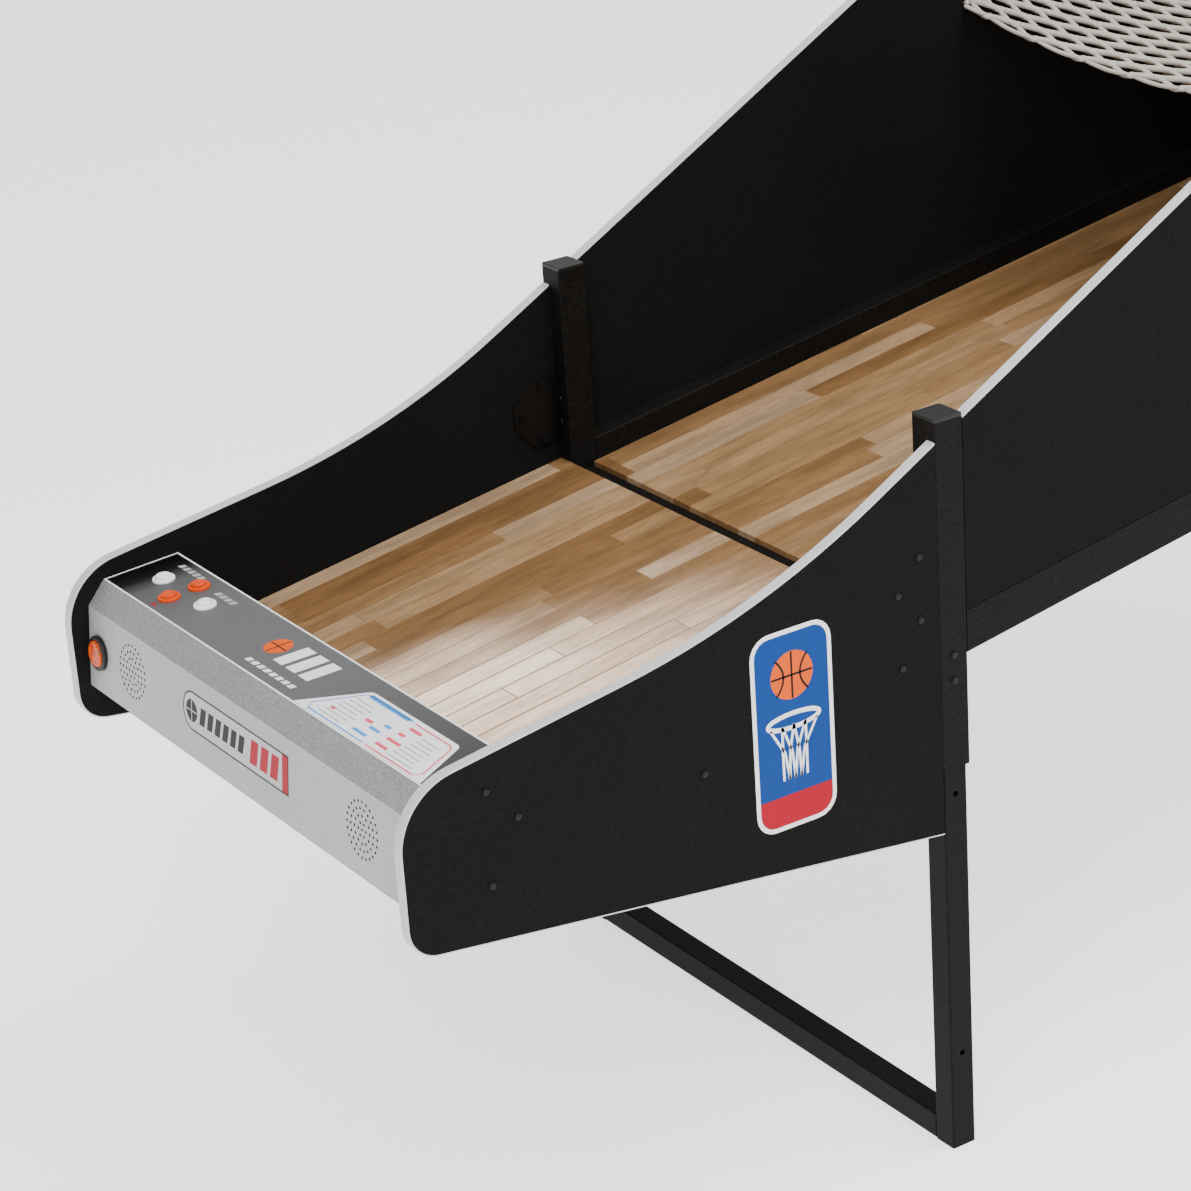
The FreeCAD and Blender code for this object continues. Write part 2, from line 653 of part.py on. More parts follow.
PANEL_HALF = INNER - RAMP_SIDE_GAP
TONGUE = POST_IN - RAMP_SIDE_GAP
TONGUE_FOOT = REAR_CROSSBAR_TOP - 20.0
back_points = [(-TONGUE, TONGUE_FOOT), (TONGUE, TONGUE_FOOT), (TONGUE, SHOULDER), (PANEL_HALF, SHOULDER)]
back_points += [(PANEL_HALF, BACKBOARD_FOOT), (-PANEL_HALF, BACKBOARD_FOOT), (-PANEL_HALF, SHOULDER)]
back_points.append((-TONGUE, SHOULDER))
back_panel = face_on(back_points, BACK_PANEL_FACE).extrude(REARWARD * BACK_PANEL_THICK)
mirrored = [Vector(-s.x, s.y, s.z) for s in BACK_PANEL_SEATS]
back_panel = drill(back_panel, BACK_PANEL_SEATS + mirrored, REARWARD, BACK_PANEL_THICK)
for place in REAR_BRACKETS:
    seats = flange_seats(place)
    seats = seats + [Vector(-s.x, s.y, s.z) for s in seats]
    back_panel = drill(back_panel, seats, REARWARD, BRACKET_THICK + BACK_PANEL_THICK)
save("back_panel", back_panel)

HOOP_BOLT_X = 62.0
HOOP_BOLT_Z = (-62.0, 16.0)
HOOP_SEATS = [Vector(x, BACKBOARD_FACE - HOOP_PLATE, HOOP_HEIGHT + z)
              for x in (-HOOP_BOLT_X, HOOP_BOLT_X) for z in HOOP_BOLT_Z]
backboard = block(-PANEL_HALF, PANEL_HALF, BACKBOARD_FACE, REAR_POST_FACE, BACKBOARD_FOOT, BACKBOARD_TOP)
mirrored = [Vector(-s.x, s.y, s.z) for s in BACKBOARD_SEATS]
backboard = drill(backboard, BACKBOARD_SEATS + mirrored, REARWARD, BACKBOARD_THICK)
backboard = drill(backboard, HOOP_SEATS, REARWARD, HOOP_PLATE + BACKBOARD_THICK)
CABLE_X = 20.0
CABLE_LOW = HOOP_HEIGHT - HOOP_PLATE / 2 - SENSOR_CABLE_DIA / 2 - 0.5
CABLE_HIGH = SCORE_FOOT + 34.0
CABLE_IN_CASE = 30.0     # how far the cable reaches into the scoreboard
CABLE_HOLE_DIA = SENSOR_CABLE_DIA + 2 * GROMMET_GAP
low_passage = rod(Vector(CABLE_X, BACKBOARD_FACE - HOOP_PLATE - 1, CABLE_LOW), REARWARD,
                  HOOP_PLATE + BACKBOARD_THICK + 2, CABLE_HOLE_DIA)
high_passage = rod(Vector(CABLE_X, REAR_POST_FACE - SCORE_SHEET - 1, CABLE_HIGH), REARWARD,
                   SCORE_SHEET + 2, CABLE_HOLE_DIA)
save("backboard", backboard.cut(low_passage))


# ---- console: folded sheet box with an opening underneath
def console_outline(inset):
    rear = CONSOLE_TOP_REAR[0] - inset
    top_run = CONSOLE_TOP_REAR[0] - CONSOLE_TOP_FRONT[0]
    top_rise = (CONSOLE_TOP_REAR[1] - CONSOLE_TOP_FRONT[1]) / top_run
    lean = (CONSOLE_FOLD[0] - CONSOLE_FOOT[0]) / (CONSOLE_FOLD[1] - CONSOLE_FOOT[1])
    fold_rise = (CONSOLE_TOP_FRONT[1] - CONSOLE_FOLD[1]) / (CONSOLE_TOP_FRONT[0] - CONSOLE_FOLD[0])
    top = CONSOLE_TOP_REAR[1] - inset * math.hypot(1, top_rise)
    fold = CONSOLE_FOLD[1] - inset * math.hypot(1, fold_rise)
    foot = CONSOLE_FOOT[0] + inset * math.hypot(1, lean)
    low = CONSOLE_FOOT[1] + inset

    def top_at(y):
        return top + (y - CONSOLE_TOP_REAR[0]) * top_rise

    def fold_at(y):
        return fold + (y - CONSOLE_FOLD[0]) * fold_rise

    y_a = (top_at(0) - fold_at(0)) / (fold_rise - top_rise)
    lean_rise = 1 / lean
    y_b = (fold_at(0) - CONSOLE_FOOT[1] + foot * lean_rise) / (lean_rise - fold_rise)
    y_c = foot + (low - CONSOLE_FOOT[1]) * lean
    return [(rear, low, 0), (rear, top_at(rear), 0), (y_a, top_at(y_a), 0), (y_b, fold_at(y_b), 0),
            (y_c, low, 0)]


outer_body = slab(console_outline(0), -INNER, INNER)
hollow = slab(console_outline(SHEET), -CONSOLE_IN, CONSOLE_IN)
hatch = block(-CONSOLE_IN + CONSOLE_LIP, CONSOLE_IN - CONSOLE_LIP, CONSOLE_FOOT[0] + SHEET + CONSOLE_LIP,
              CONSOLE_TOP_REAR[0] - SHEET - CONSOLE_LIP, CONSOLE_FOOT[1] - 1, CONSOLE_FOOT[1] + SHEET + 1)
console = outer_body.cut(hollow).cut(hatch)

TOP_SLOPE = math.atan2(CONSOLE_TOP_REAR[1] - CONSOLE_TOP_FRONT[1], CONSOLE_TOP_REAR[0] - CONSOLE_TOP_FRONT[0])
TOP_NORMAL = Vector(0, -math.sin(TOP_SLOPE), math.cos(TOP_SLOPE))
LEAN = math.atan2(CONSOLE_FOLD[0] - CONSOLE_FOOT[0], CONSOLE_FOLD[1] - CONSOLE_FOOT[1])
FACE_NORMAL = Vector(0, -math.cos(LEAN), math.sin(LEAN))


def on_top(x, y):
    return Vector(x, y, CONSOLE_TOP_REAR[1] + (y - CONSOLE_TOP_REAR[0]) * math.tan(TOP_SLOPE))


def on_front(x, z):
    return Vector(x, CONSOLE_FOOT[0] + (z - CONSOLE_FOOT[1]) * math.tan(LEAN), z)


BUTTONS_X = -INNER + BUTTONS_IN
BUTTONS = {
    "button_left": on_top(BUTTONS_X - BUTTON_SPREAD_X, BUTTONS_STATION),
    "button_back": on_top(BUTTONS_X, BUTTONS_STATION + BUTTON_SPREAD_Y),
    "button_front": on_top(BUTTONS_X, BUTTONS_STATION - BUTTON_SPREAD_Y),
    "button_right": on_top(BUTTONS_X + BUTTON_SPREAD_X, BUTTONS_STATION),
}
START = on_front(-INNER + START_IN, START_HEIGHT)

for seat in BUTTONS.values():
    hole_dia = BUTTON_BODY_DIA + 2 * BUTTON_HOLE_GAP
    console = console.cut(rod(seat + TOP_NORMAL, TOP_NORMAL * -1, SHEET * 3, hole_dia))
start_hole_dia = START_BODY_DIA + 2 * BUTTON_HOLE_GAP
console = console.cut(rod(START + FACE_NORMAL, FACE_NORMAL * -1, SHEET * 3, start_hole_dia))
grille = []
for x in SPEAKER_X:
    for ring in range(SPEAKER_RINGS + 1):
        holes = max(1, 6 * ring)
        for i in range(holes):
            turn = 2 * math.pi * i / holes
            across = SPEAKER_PITCH * ring * math.cos(turn)
            up = SPEAKER_PITCH * ring * math.sin(turn)
            start = on_front(x + across, SPEAKER_HEIGHT + up)
            grille.append(rod(start + FACE_NORMAL, FACE_NORMAL * -1, SHEET * 2, SPEAKER_HOLE_DIA))
console = console.cut(grille)
console = drill(console, CONSOLE_BOLTS, INWARD, BOARD + SHEET)
console = drill(console, [Vector(-s.x, s.y, s.z) for s in CONSOLE_BOLTS], OUTWARD, BOARD + SHEET)
save("console_shell", console)


# ---- arcade buttons: housing with bezel and nut, moving cap, microswitch below
def along(shape, seat, normal):
    """Move a shape built up Z from the origin onto a seat."""
    turn = FreeCAD.Rotation(UP, normal)
    shape = shape.copy()
    shape.Placement = FreeCAD.Placement(seat, turn)
    return shape


def disc(z0, z1, diameter):
    return Part.makeCylinder(diameter / 2, z1 - z0, Vector(0, 0, z0), UP)


def housing(bezel_dia, bezel_tall, body_dia, cap_dia, body_wall):
    bezel = disc(0, bezel_tall, bezel_dia)
    rim = [e for e in bezel.Edges if e.CenterOfMass.z > bezel_tall - 1e-3 and len(e.Vertexes) == 1]
    bezel = bezel.makeFillet(bezel_tall * 0.6, rim)
    body = disc(-BUTTON_DEEP, 0, body_dia)
    nut = disc(-SHEET - BUTTON_NUT_TALL, -SHEET, body_dia + BUTTON_NUT_OVER)
    shape = bezel.fuse([body, nut])
    shape = shape.cut(disc(-BUTTON_DEEP + body_wall, bezel_tall + 1, cap_dia + 2 * CAP_GAP))
    return shape.cut(disc(-BUTTON_DEEP - 1, 0, STEM_DIA + 2 * CAP_GAP))


def cap(top, cap_dia, travel, dome):
    body = disc(CAP_SKIRT, top, cap_dia)
    rim = [e for e in body.Edges if e.CenterOfMass.z > top - 1e-3 and len(e.Vertexes) == 1]
    body = body.makeFillet(dome, rim)
    stem = disc(-BUTTON_DEEP + travel, CAP_SKIRT, STEM_DIA)
    return body.fuse(stem).removeSplitter()


def micro_switch():
    long, wide, tall = SWITCH
    tag_long, tag_wide, tag_tall = SWITCH_TAG
    foot = -BUTTON_DEEP - tall
    body = Part.makeBox(long, wide, tall, Vector(-long / 2, -wide / 2, foot))
    tags = [Part.makeBox(tag_long, tag_wide, tag_tall, Vector(x, -tag_wide / 2, foot - tag_tall))
            for x in SWITCH_TAG_X]
    return body.fuse(tags)


small_housing = housing(BEZEL_DIA, BEZEL_TALL, BUTTON_BODY_DIA, CAP_DIA, BODY_WALL)
small_cap = cap(BEZEL_TALL + CAP_PROUD, CAP_DIA, SWITCH_GAP + BUTTON_TRAVEL, CAP_DOME)
START_FLOOR = 2.0        # bottom of the cup
start_cup = disc(0, START_CUP_TALL, START_BEZEL_DIA)
start_rim = [e for e in start_cup.Edges if e.CenterOfMass.z > START_CUP_TALL - 1e-3 and len(e.Vertexes) == 1]
start_cup = start_cup.makeFillet(START_SOFT, start_rim)
start_nut = disc(-SHEET - BUTTON_NUT_TALL, -SHEET, START_BODY_DIA + BUTTON_NUT_OVER)
start_cup = start_cup.fuse([disc(-BUTTON_DEEP, 0, START_BODY_DIA), start_nut])
start_cup = start_cup.cut(disc(START_FLOOR, START_CUP_TALL + 1, START_CAP_DIA + 2 * CAP_GAP))
start_cup = start_cup.cut(disc(-BUTTON_DEEP - 1, START_FLOOR + 1, STEM_DIA + 2 * CAP_GAP))
START_TOP = START_CUP_TALL + START_PROUD
start_cap = disc(START_FLOOR + START_TRAVEL + SWITCH_GAP, START_TOP, START_CAP_DIA)
start_edge = [e for e in start_cap.Edges if e.CenterOfMass.z > START_TOP - 1e-3 and len(e.Vertexes) == 1]
start_cap = start_cap.makeFillet(START_PROUD, start_edge)
start_cap = start_cap.fuse(disc(-BUTTON_DEEP + START_TRAVEL + SWITCH_GAP, START_CUP_TALL, STEM_DIA))
start_cap = start_cap.removeSplitter()

save("button_housings", *[along(small_housing, seat, TOP_NORMAL) for seat in BUTTONS.values()])
for name, seat in BUTTONS.items():
    save(name, along(small_cap, seat, TOP_NORMAL))
save("start_housing", along(start_cup, START, FACE_NORMAL))
save("start_button", along(start_cap, START, FACE_NORMAL))
switches = [along(micro_switch(), seat, TOP_NORMAL) for seat in BUTTONS.values()]
switches.append(along(micro_switch(), START, FACE_NORMAL))
save("micro_switches", *switches)


# ---- loudspeakers behind the grilles
def speaker(x):
    seat = on_front(x, SPEAKER_HEIGHT) - FACE_NORMAL * SHEET
    back = -SPEAKER_RIM - BASKET_DEEP
    rim = disc(-SPEAKER_RIM, 0, SPEAKER_DIA)
    basket = Part.makeCone(SPEAKER_DIA / 2 - 14, SPEAKER_DIA / 2 - 4, BASKET_DEEP, Vector(0, 0, back), UP)
    magnet = disc(back - MAGNET_TALL, back, MAGNET_DIA)
    bowl = Part.makeCone(MAGNET_DIA / 2 - 15, SPEAKER_DIA / 2 - 6, BASKET_DEEP, Vector(0, 0, back + 4.1), UP)
    return along(rim.fuse([basket, magnet]).cut(bowl), seat, FACE_NORMAL)


save("speaker_left", speaker(SPEAKER_X[0]))
save("speaker_right", speaker(SPEAKER_X[1]))

# ---- console underside: cover plate, electronics, inlet and power rocker
PLATE_TOP = CONSOLE_FOOT[1]
PLATE_FRONT = CONSOLE_FOOT[0] + 1.0
PLATE_REAR = CONSOLE_TOP_REAR[0] - 1.0
INLET_X = 250.0
INLET_Y = (PLATE_FRONT + PLATE_REAR) / 2
INLET_HALF_X = 34.0
INLET_HALF_Y = 14.0
INLET_TALL = 24.0
INLET_FIT = 0.3
SOCKET_X = (-29.0, -3.0)      # socket's sides from the inlet's middle
SOCKET_HALF_Y = 9.0
SOCKET_DEEP = 18.0
BLADES = ((-23.0, -3.0), (-9.0, -3.0), (-16.0, 3.0))
BLADE = (2.0, 4.0)
WELL_HALF_X = 9.0
WELL_HALF_Y = 11.0
WELL_TOP = 6.0
ROCKER_X = INLET_X + 20.0
ROCKER_HALF_X = 8.4
cover = block(-INNER + 1, INNER - 1, PLATE_FRONT, PLATE_REAR, PLATE_TOP - SHEET, PLATE_TOP)
cutout = block(INLET_X - INLET_HALF_X - INLET_FIT, INLET_X + INLET_HALF_X + INLET_FIT,
               INLET_Y - INLET_HALF_Y - INLET_FIT, INLET_Y + INLET_HALF_Y + INLET_FIT,
               PLATE_TOP - 5, PLATE_TOP + 5)
save("console_cover", cover.cut(cutout))

BOARD_LIFT = 8.0
PCB_X = (-170.0, 0.0)
PCB_Y = (-835.0, -735.0)
PCB_THICK = 1.6
STUD_IN = 8.0
STUD_DIA = 6.0
PCB_FACE = PLATE_TOP + BOARD_LIFT + PCB_THICK
pcb = block(*PCB_X, *PCB_Y, PLATE_TOP + BOARD_LIFT, PCB_FACE)
studs = [rod(Vector(x, y, PLATE_TOP), UP, BOARD_LIFT, STUD_DIA)
         for x in (PCB_X[0] + STUD_IN, PCB_X[1] - STUD_IN) for y in (PCB_Y[0] + STUD_IN, PCB_Y[1] - STUD_IN)]
CHIP = (28.0, 28.0, 2.5)
SOCKETS = (18.0, 90.0, 9.0)
HEAT_SINK = (30.0, 60.0, 12.0)
CAPACITOR_DIA = 10.0
CAPACITOR_TALL = 14.0


def on_pcb(from_left, from_front, size):
    x = PCB_X[0] + from_left
    y = PCB_Y[0] + from_front
    return block(x, x + size[0], y, y + size[1], PCB_FACE, PCB_FACE + size[2])


chips = [on_pcb(60.0, 35.0, CHIP), on_pcb(20.0, 5.0, SOCKETS), on_pcb(130.0, 20.0, HEAT_SINK)]
chips += [rod(Vector(PCB_X[0] + 108, PCB_Y[0] + y, PCB_FACE), UP, CAPACITOR_TALL, CAPACITOR_DIA)
          for y in (40, 65)]
save("control_board", pcb.fuse(studs + chips).removeSplitter())
SUPPLY_X = (60.0, 180.0)
SUPPLY_Y = (-840.0, -750.0)
SUPPLY_TALL = 42.0
supply = block(*SUPPLY_X, *SUPPLY_Y, PLATE_TOP, PLATE_TOP + SUPPLY_TALL)
save("power_supply", supply.makeFillet(2.0, [e for e in supply.Edges if e.CenterOfMass.z > PLATE_TOP + 1]))

FLANGE = 3.0
inlet_top = PLATE_TOP - SHEET + INLET_TALL
inlet = block(INLET_X - INLET_HALF_X, INLET_X + INLET_HALF_X, INLET_Y - INLET_HALF_Y, INLET_Y + INLET_HALF_Y,
              PLATE_TOP - SHEET, inlet_top)
flange = block(INLET_X - INLET_HALF_X - FLANGE, INLET_X + INLET_HALF_X + FLANGE,
               INLET_Y - INLET_HALF_Y - FLANGE, INLET_Y + INLET_HALF_Y + FLANGE,
               PLATE_TOP - SHEET - FLANGE, PLATE_TOP - SHEET)
inlet = inlet.fuse(flange)
face_below = PLATE_TOP - SHEET - FLANGE - 1
socket_top = face_below + 1 + SOCKET_DEEP
socket = block(INLET_X + SOCKET_X[0], INLET_X + SOCKET_X[1], INLET_Y - SOCKET_HALF_Y, INLET_Y + SOCKET_HALF_Y,
               face_below, socket_top)
well = block(ROCKER_X - WELL_HALF_X, ROCKER_X + WELL_HALF_X, INLET_Y - WELL_HALF_Y, INLET_Y + WELL_HALF_Y,
             face_below, PLATE_TOP + WELL_TOP)
inlet = inlet.cut([socket, well])
blades = [block(INLET_X + x - BLADE[0] / 2, INLET_X + x + BLADE[0] / 2, INLET_Y + y - BLADE[1] / 2,
                INLET_Y + y + BLADE[1] / 2, PLATE_TOP - SHEET, socket_top + 1) for x, y in BLADES]
inlet = inlet.fuse(blades).removeSplitter()
ROCKER_PIVOT = Vector(ROCKER_X, INLET_Y, PLATE_TOP + 1.0)
PIVOT_DIA = 3.0
pivot_half = WELL_HALF_X + 0.5
pivot = rod(ROCKER_PIVOT - ACROSS * pivot_half, ACROSS, 2 * pivot_half, PIVOT_DIA)
save("power_inlet", inlet.fuse(pivot).removeSplitter())
ROCKER_HALF = 9.6
rocker_points = [(INLET_Y - ROCKER_HALF, PLATE_TOP - 3.0, 0.6), (INLET_Y, PLATE_TOP - 4.6, 0),
                 (INLET_Y + ROCKER_HALF, PLATE_TOP - 3.0, 0.6), (INLET_Y + 5.0, PLATE_TOP + 3.4, 1.0),
                 (INLET_Y - 5.0, PLATE_TOP + 3.4, 1.0)]
rocker = slab(rocker_points, ROCKER_X - ROCKER_HALF_X, ROCKER_X + ROCKER_HALF_X)
rocker = rocker.cut(rod(ROCKER_PIVOT - ACROSS * pivot_half, ACROSS, 2 * pivot_half, PIVOT_DIA + 2 * PIN_GAP))
save("power_rocker", rocker)


# ---- hoop, its bracket, net and score lever
RING_CENTRE = Vector(0, HOOP_STATION, HOOP_HEIGHT)
ring = Part.makeTorus(RING_MID, ROD / 2, RING_CENTRE, UP)
save("hoop_ring", ring)
plate_half = HOOP_PLATE / 2
wall_plate = block(-WALL_PLATE_HALF, WALL_PLATE_HALF, BACKBOARD_FACE - HOOP_PLATE, BACKBOARD_FACE,
                   HOOP_HEIGHT - WALL_PLATE_DOWN, HOOP_HEIGHT + WALL_PLATE_UP)
neck = block(-NECK_HALF, NECK_HALF, HOOP_STATION + RING_MID * 0.8, BACKBOARD_FACE - HOOP_PLATE,
             HOOP_HEIGHT - plate_half, HOOP_HEIGHT + plate_half)
neck = neck.cut(Part.makeCylinder(RING_MID + ROD / 2 + WELD_GAP, 40, RING_CENTRE - UP * 20, UP))
gusset_points = [(BACKBOARD_FACE - HOOP_PLATE, HOOP_HEIGHT - GUSSET_TALL, 0),
                 (BACKBOARD_FACE - HOOP_PLATE, HOOP_HEIGHT, 0), (BACKBOARD_FACE - GUSSET_DEEP, HOOP_HEIGHT, 0)]
gussets = [slab(gusset_points, x - GUSSET_THICK / 2, x + GUSSET_THICK / 2) for x in (-GUSSET_OUT, GUSSET_OUT)]
hoop_bracket = wall_plate.fuse([neck] + gussets).removeSplitter()
save("hoop_bracket", drill(hoop_bracket, HOOP_SEATS, REARWARD, HOOP_PLATE).cut(low_passage))

NET_TOP = HOOP_HEIGHT - ROD / 2 - NET_GAP
waist_height = NET_TOP - NET_LONG * NET_WAIST_AT
net_line = [(RING_MID, NET_TOP), (NET_WAIST, waist_height), (NET_MOUTH, NET_TOP - NET_LONG)]
profile = [Vector(r - NET_WALL / 2, 0, z) for r, z in net_line]
profile += [Vector(r + NET_WALL / 2, 0, z) for r, z in reversed(net_line)]
profile.append(profile[0])
hoop_net = Part.Face(Part.makePolygon(profile)).revolve(Vector(0, 0, 0), UP, 360)
hoop_net.translate(Vector(0, HOOP_STATION, 0))
PIVOT = Vector(0, HOOP_STATION + RING_MID + ROD / 2 + LEVER_PIVOT_BACK, HOOP_HEIGHT - LEVER_PIVOT_DROP)
SLOT_HALF = 12.0         # gap between the net's loops for the lever
SLOT_DOWN = 45.0
SLOT_UP = 10.0
slot = block(-SLOT_HALF, SLOT_HALF, HOOP_STATION + NET_MOUTH, PIVOT.y, PIVOT.z - SLOT_DOWN, PIVOT.z + SLOT_UP)
save("hoop_net", hoop_net.cut(slot))

LEVER_HALF = 4.0
EAR_THICK = 2.0
EAR_HALF = 8.0
EAR_IN = LEVER_HALF + PIN_GAP
PIN_HALF = EAR_IN + EAR_THICK + 1.0
ear_points = [(PIVOT.y - EAR_HALF, HOOP_HEIGHT - plate_half, 0),
              (PIVOT.y + EAR_HALF, HOOP_HEIGHT - plate_half, 0),
              (PIVOT.y + EAR_HALF, PIVOT.z - EAR_HALF, 5.0), (PIVOT.y - EAR_HALF, PIVOT.z - EAR_HALF, 5.0)]
ears = [slab(ear_points, EAR_IN, EAR_IN + EAR_THICK), slab(ear_points, -EAR_IN - EAR_THICK, -EAR_IN)]
web = block(-EAR_IN - EAR_THICK, EAR_IN + EAR_THICK, PIVOT.y - EAR_HALF, PIVOT.y + EAR_HALF,
            HOOP_HEIGHT - plate_half - EAR_THICK, HOOP_HEIGHT - plate_half)
pin = rod(PIVOT - ACROSS * PIN_HALF, ACROSS, 2 * PIN_HALF, PIN_DIA)
save("sensor_bracket", web.fuse(ears + [pin]).removeSplitter())
lever = rod(PIVOT - ACROSS * LEVER_HALF, ACROSS, 2 * LEVER_HALF, LEVER_HUB_DIA)
arm = block(-LEVER_HALF, LEVER_HALF, PIVOT.y - LEVER_LONG, PIVOT.y, PIVOT.z - LEVER_THICK / 2,
            PIVOT.z + LEVER_THICK / 2)
paddle = rod(Vector(0, PIVOT.y - LEVER_LONG, PIVOT.z - LEVER_THICK / 2), UP, LEVER_THICK, PADDLE_DIA)
lever_bore = rod(PIVOT - ACROSS * PIN_HALF, ACROSS, 2 * PIN_HALF, PIN_DIA + 2 * PIN_GAP)
lever = lever.fuse([arm, paddle]).cut(lever_bore)
save("score_lever", lever.removeSplitter())

# cable from the lever's switch, through the backboard and up to the scoreboard
CABLE_BACK = REAR_POST_FACE + SENSOR_CABLE_DIA / 2 + 1.0
cable_corners = [(PIVOT.y + EAR_HALF, CABLE_LOW, 0),
                 (CABLE_BACK + SENSOR_CABLE_BEND, CABLE_LOW, SENSOR_CABLE_BEND),
                 (CABLE_BACK + SENSOR_CABLE_BEND, CABLE_HIGH, SENSOR_CABLE_BEND),
                 (REAR_POST_FACE - CABLE_IN_CASE, CABLE_HIGH, 0)]
cable_path = rounded_wire(cable_corners, False)
cable_path.translate(Vector(CABLE_X, 0, 0))
cable_end = Vector(CABLE_X, PIVOT.y + EAR_HALF, CABLE_LOW)
cable_round = Part.Wire(Part.makeCircle(SENSOR_CABLE_DIA / 2, cable_end, REARWARD))
save("sensor_cable", cable_path.makePipeShell([cable_round], True, False))


# ---- ball-return net, slung between the side panels under the hoop
NET_SIDE = INNER - NET_GAP
NET_REAR = BACK_PANEL_FACE - NET_GAP
NET_ARC = (NET_SIDE ** 2 + NET_SAG ** 2) / (2 * NET_SAG)   # radius of the sag


def net_arc(lift):
    """Sagging edge line at the front hem, as an arc."""
    a = Vector(-NET_SIDE, NET_HEM, NET_HEM_HEIGHT + lift)
    b = Vector(0, NET_HEM, NET_HEM_HEIGHT - NET_SAG + lift)
    c = Vector(NET_SIDE, NET_HEM, NET_HEM_HEIGHT + lift)
    return a, b, c


low = net_arc(0.0)
high = net_arc(NET_SHEET)
edges = [Part.Arc(*low).toShape(), Part.LineSegment(low[2], high[2]).toShape(),
         Part.Arc(*high).toShape(), Part.LineSegment(high[0], low[0]).toShape()]
hem = Part.Face(Part.Wire(Part.__sortEdges__(edges)))
save("ball_net", hem.extrude(Vector(0, NET_REAR - NET_HEM, NET_REAR_HEIGHT - NET_HEM_HEIGHT)))

HOOK_DROP = HOOK_DIA / 2 + HOOK_LONG * NET_SIDE / (NET_ARC - NET_SAG) + HOOK_CLEAR
hooks = []
for i in range(NET_HOOKS):
    part_way = (i + HOOK_ENDS[0]) / (NET_HOOKS - 1 + sum(HOOK_ENDS))
    y = NET_HEM + (NET_REAR - NET_HEM) * part_way
    z = NET_HEM_HEIGHT + (NET_REAR_HEIGHT - NET_HEM_HEIGHT) * part_way - HOOK_DROP
    stem = rod(Vector(INNER, y, z), INWARD, HOOK_LONG, HOOK_DIA)
    plate = rod(Vector(INNER, y, z), INWARD, HOOK_FLANGE_THICK, HOOK_FLANGE_DIA)
    hooks += both_sides(stem.fuse(plate).removeSplitter())
save("net_hooks", *hooks)

# ---- scoreboard
SCORE_FRONT = REAR_POST_FACE - SCORE_DEEP
SCORE_HALF = INNER
case = block(-SCORE_HALF, SCORE_HALF, SCORE_FRONT, REAR_POST_FACE, SCORE_FOOT, REAR_POST_TOP)
case = case.cut(block(-SCORE_HALF + SCORE_SHEET, SCORE_HALF - SCORE_SHEET, SCORE_FRONT - 1,
                      REAR_POST_FACE - SCORE_SHEET, SCORE_FOOT + SCORE_SHEET, REAR_POST_TOP - SCORE_SHEET))
LIP = 10.0
frame_face = block(-SCORE_HALF, SCORE_HALF, SCORE_FRONT, SCORE_FRONT + SCORE_SHEET, SCORE_FOOT, REAR_POST_TOP)
frame_face = frame_face.cut(block(-SCORE_HALF + LIP, SCORE_HALF - LIP, SCORE_FRONT - 1, SCORE_FRONT + 5,
                                  SCORE_FOOT + LIP, REAR_POST_TOP - LIP))
case = case.fuse(frame_face).removeSplitter()
mirrored = [Vector(-s.x, s.y, s.z) for s in SCORE_SEATS]
case = drill(case, SCORE_SEATS + mirrored, REARWARD, SCORE_SHEET)
save("scoreboard_case", case.cut(high_passage))
WINDOW_FIT = 1.0
window_y = SCORE_FRONT + SCORE_SHEET
save("scoreboard_window", block(-SCORE_HALF + SCORE_SHEET + WINDOW_FIT, SCORE_HALF - SCORE_SHEET - WINDOW_FIT,
                                window_y, window_y + WINDOW_THICK, SCORE_FOOT + SCORE_SHEET,
                                REAR_POST_TOP - SCORE_SHEET - WINDOW_FIT))
DISPLAY_BACK = 12.0      # behind the window
DISPLAY_IN = 40.0        # inside the case's ends
DISPLAY_DOWN = 6.0       # below the case's top
display_y = window_y + WINDOW_THICK + DISPLAY_BACK
save("scoreboard_display", block(-SCORE_HALF + DISPLAY_IN, SCORE_HALF - DISPLAY_IN, display_y,
                                 display_y + DISPLAY_THICK, SCORE_FOOT + SCORE_SHEET,
                                 REAR_POST_TOP - SCORE_SHEET - DISPLAY_DOWN))

# ---- fasteners
panel = bolts(CONSOLE_BOLTS, INWARD, BOARD + SHEET) + bolts(CLEAT_BOLTS, INWARD, BOARD + CLEAT_THICK)
for place in brackets:
    panel += bolts(bracket_seats(place), INWARD, BOARD + BRACKET_THICK)
save("panel_bolts", *[s for one in panel for s in both_sides(one)])

frame = bolts(LEG_BOLTS + REAR_LEG_BOLTS, INWARD, LEG_INSET + LEG_WALL)
frame += bolts(flange_seats(FRONT_BRACKET), REARWARD, FLANGE_GRIP)
for place in REAR_BRACKETS:
    frame += bolts(flange_seats(place), REARWARD, REAR_FLANGE_GRIP)
frame += [screw(seat, SLOPE_NORMAL, RAIL_SCREW_LONG) for seat in RAIL_SCREWS]
save("frame_bolts", *[s for one in frame for s in both_sides(one)])

rear = bolts(BACKBOARD_SEATS, REARWARD, BACKBOARD_THICK + POST_WALL)
rear += bolts(BACK_PANEL_SEATS, REARWARD, BACK_PANEL_THICK + POST_WALL)
rear += bolts(SCORE_SEATS, REARWARD, SCORE_SHEET + POST_WALL)
save("board_bolts", *[s for one in rear for s in both_sides(one)])
save("hoop_bolts", *bolts(HOOP_SEATS, REARWARD, HOOP_PLATE + BACKBOARD_THICK))
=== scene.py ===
import math

import bmesh
import bpy
from mathutils import Matrix, Vector


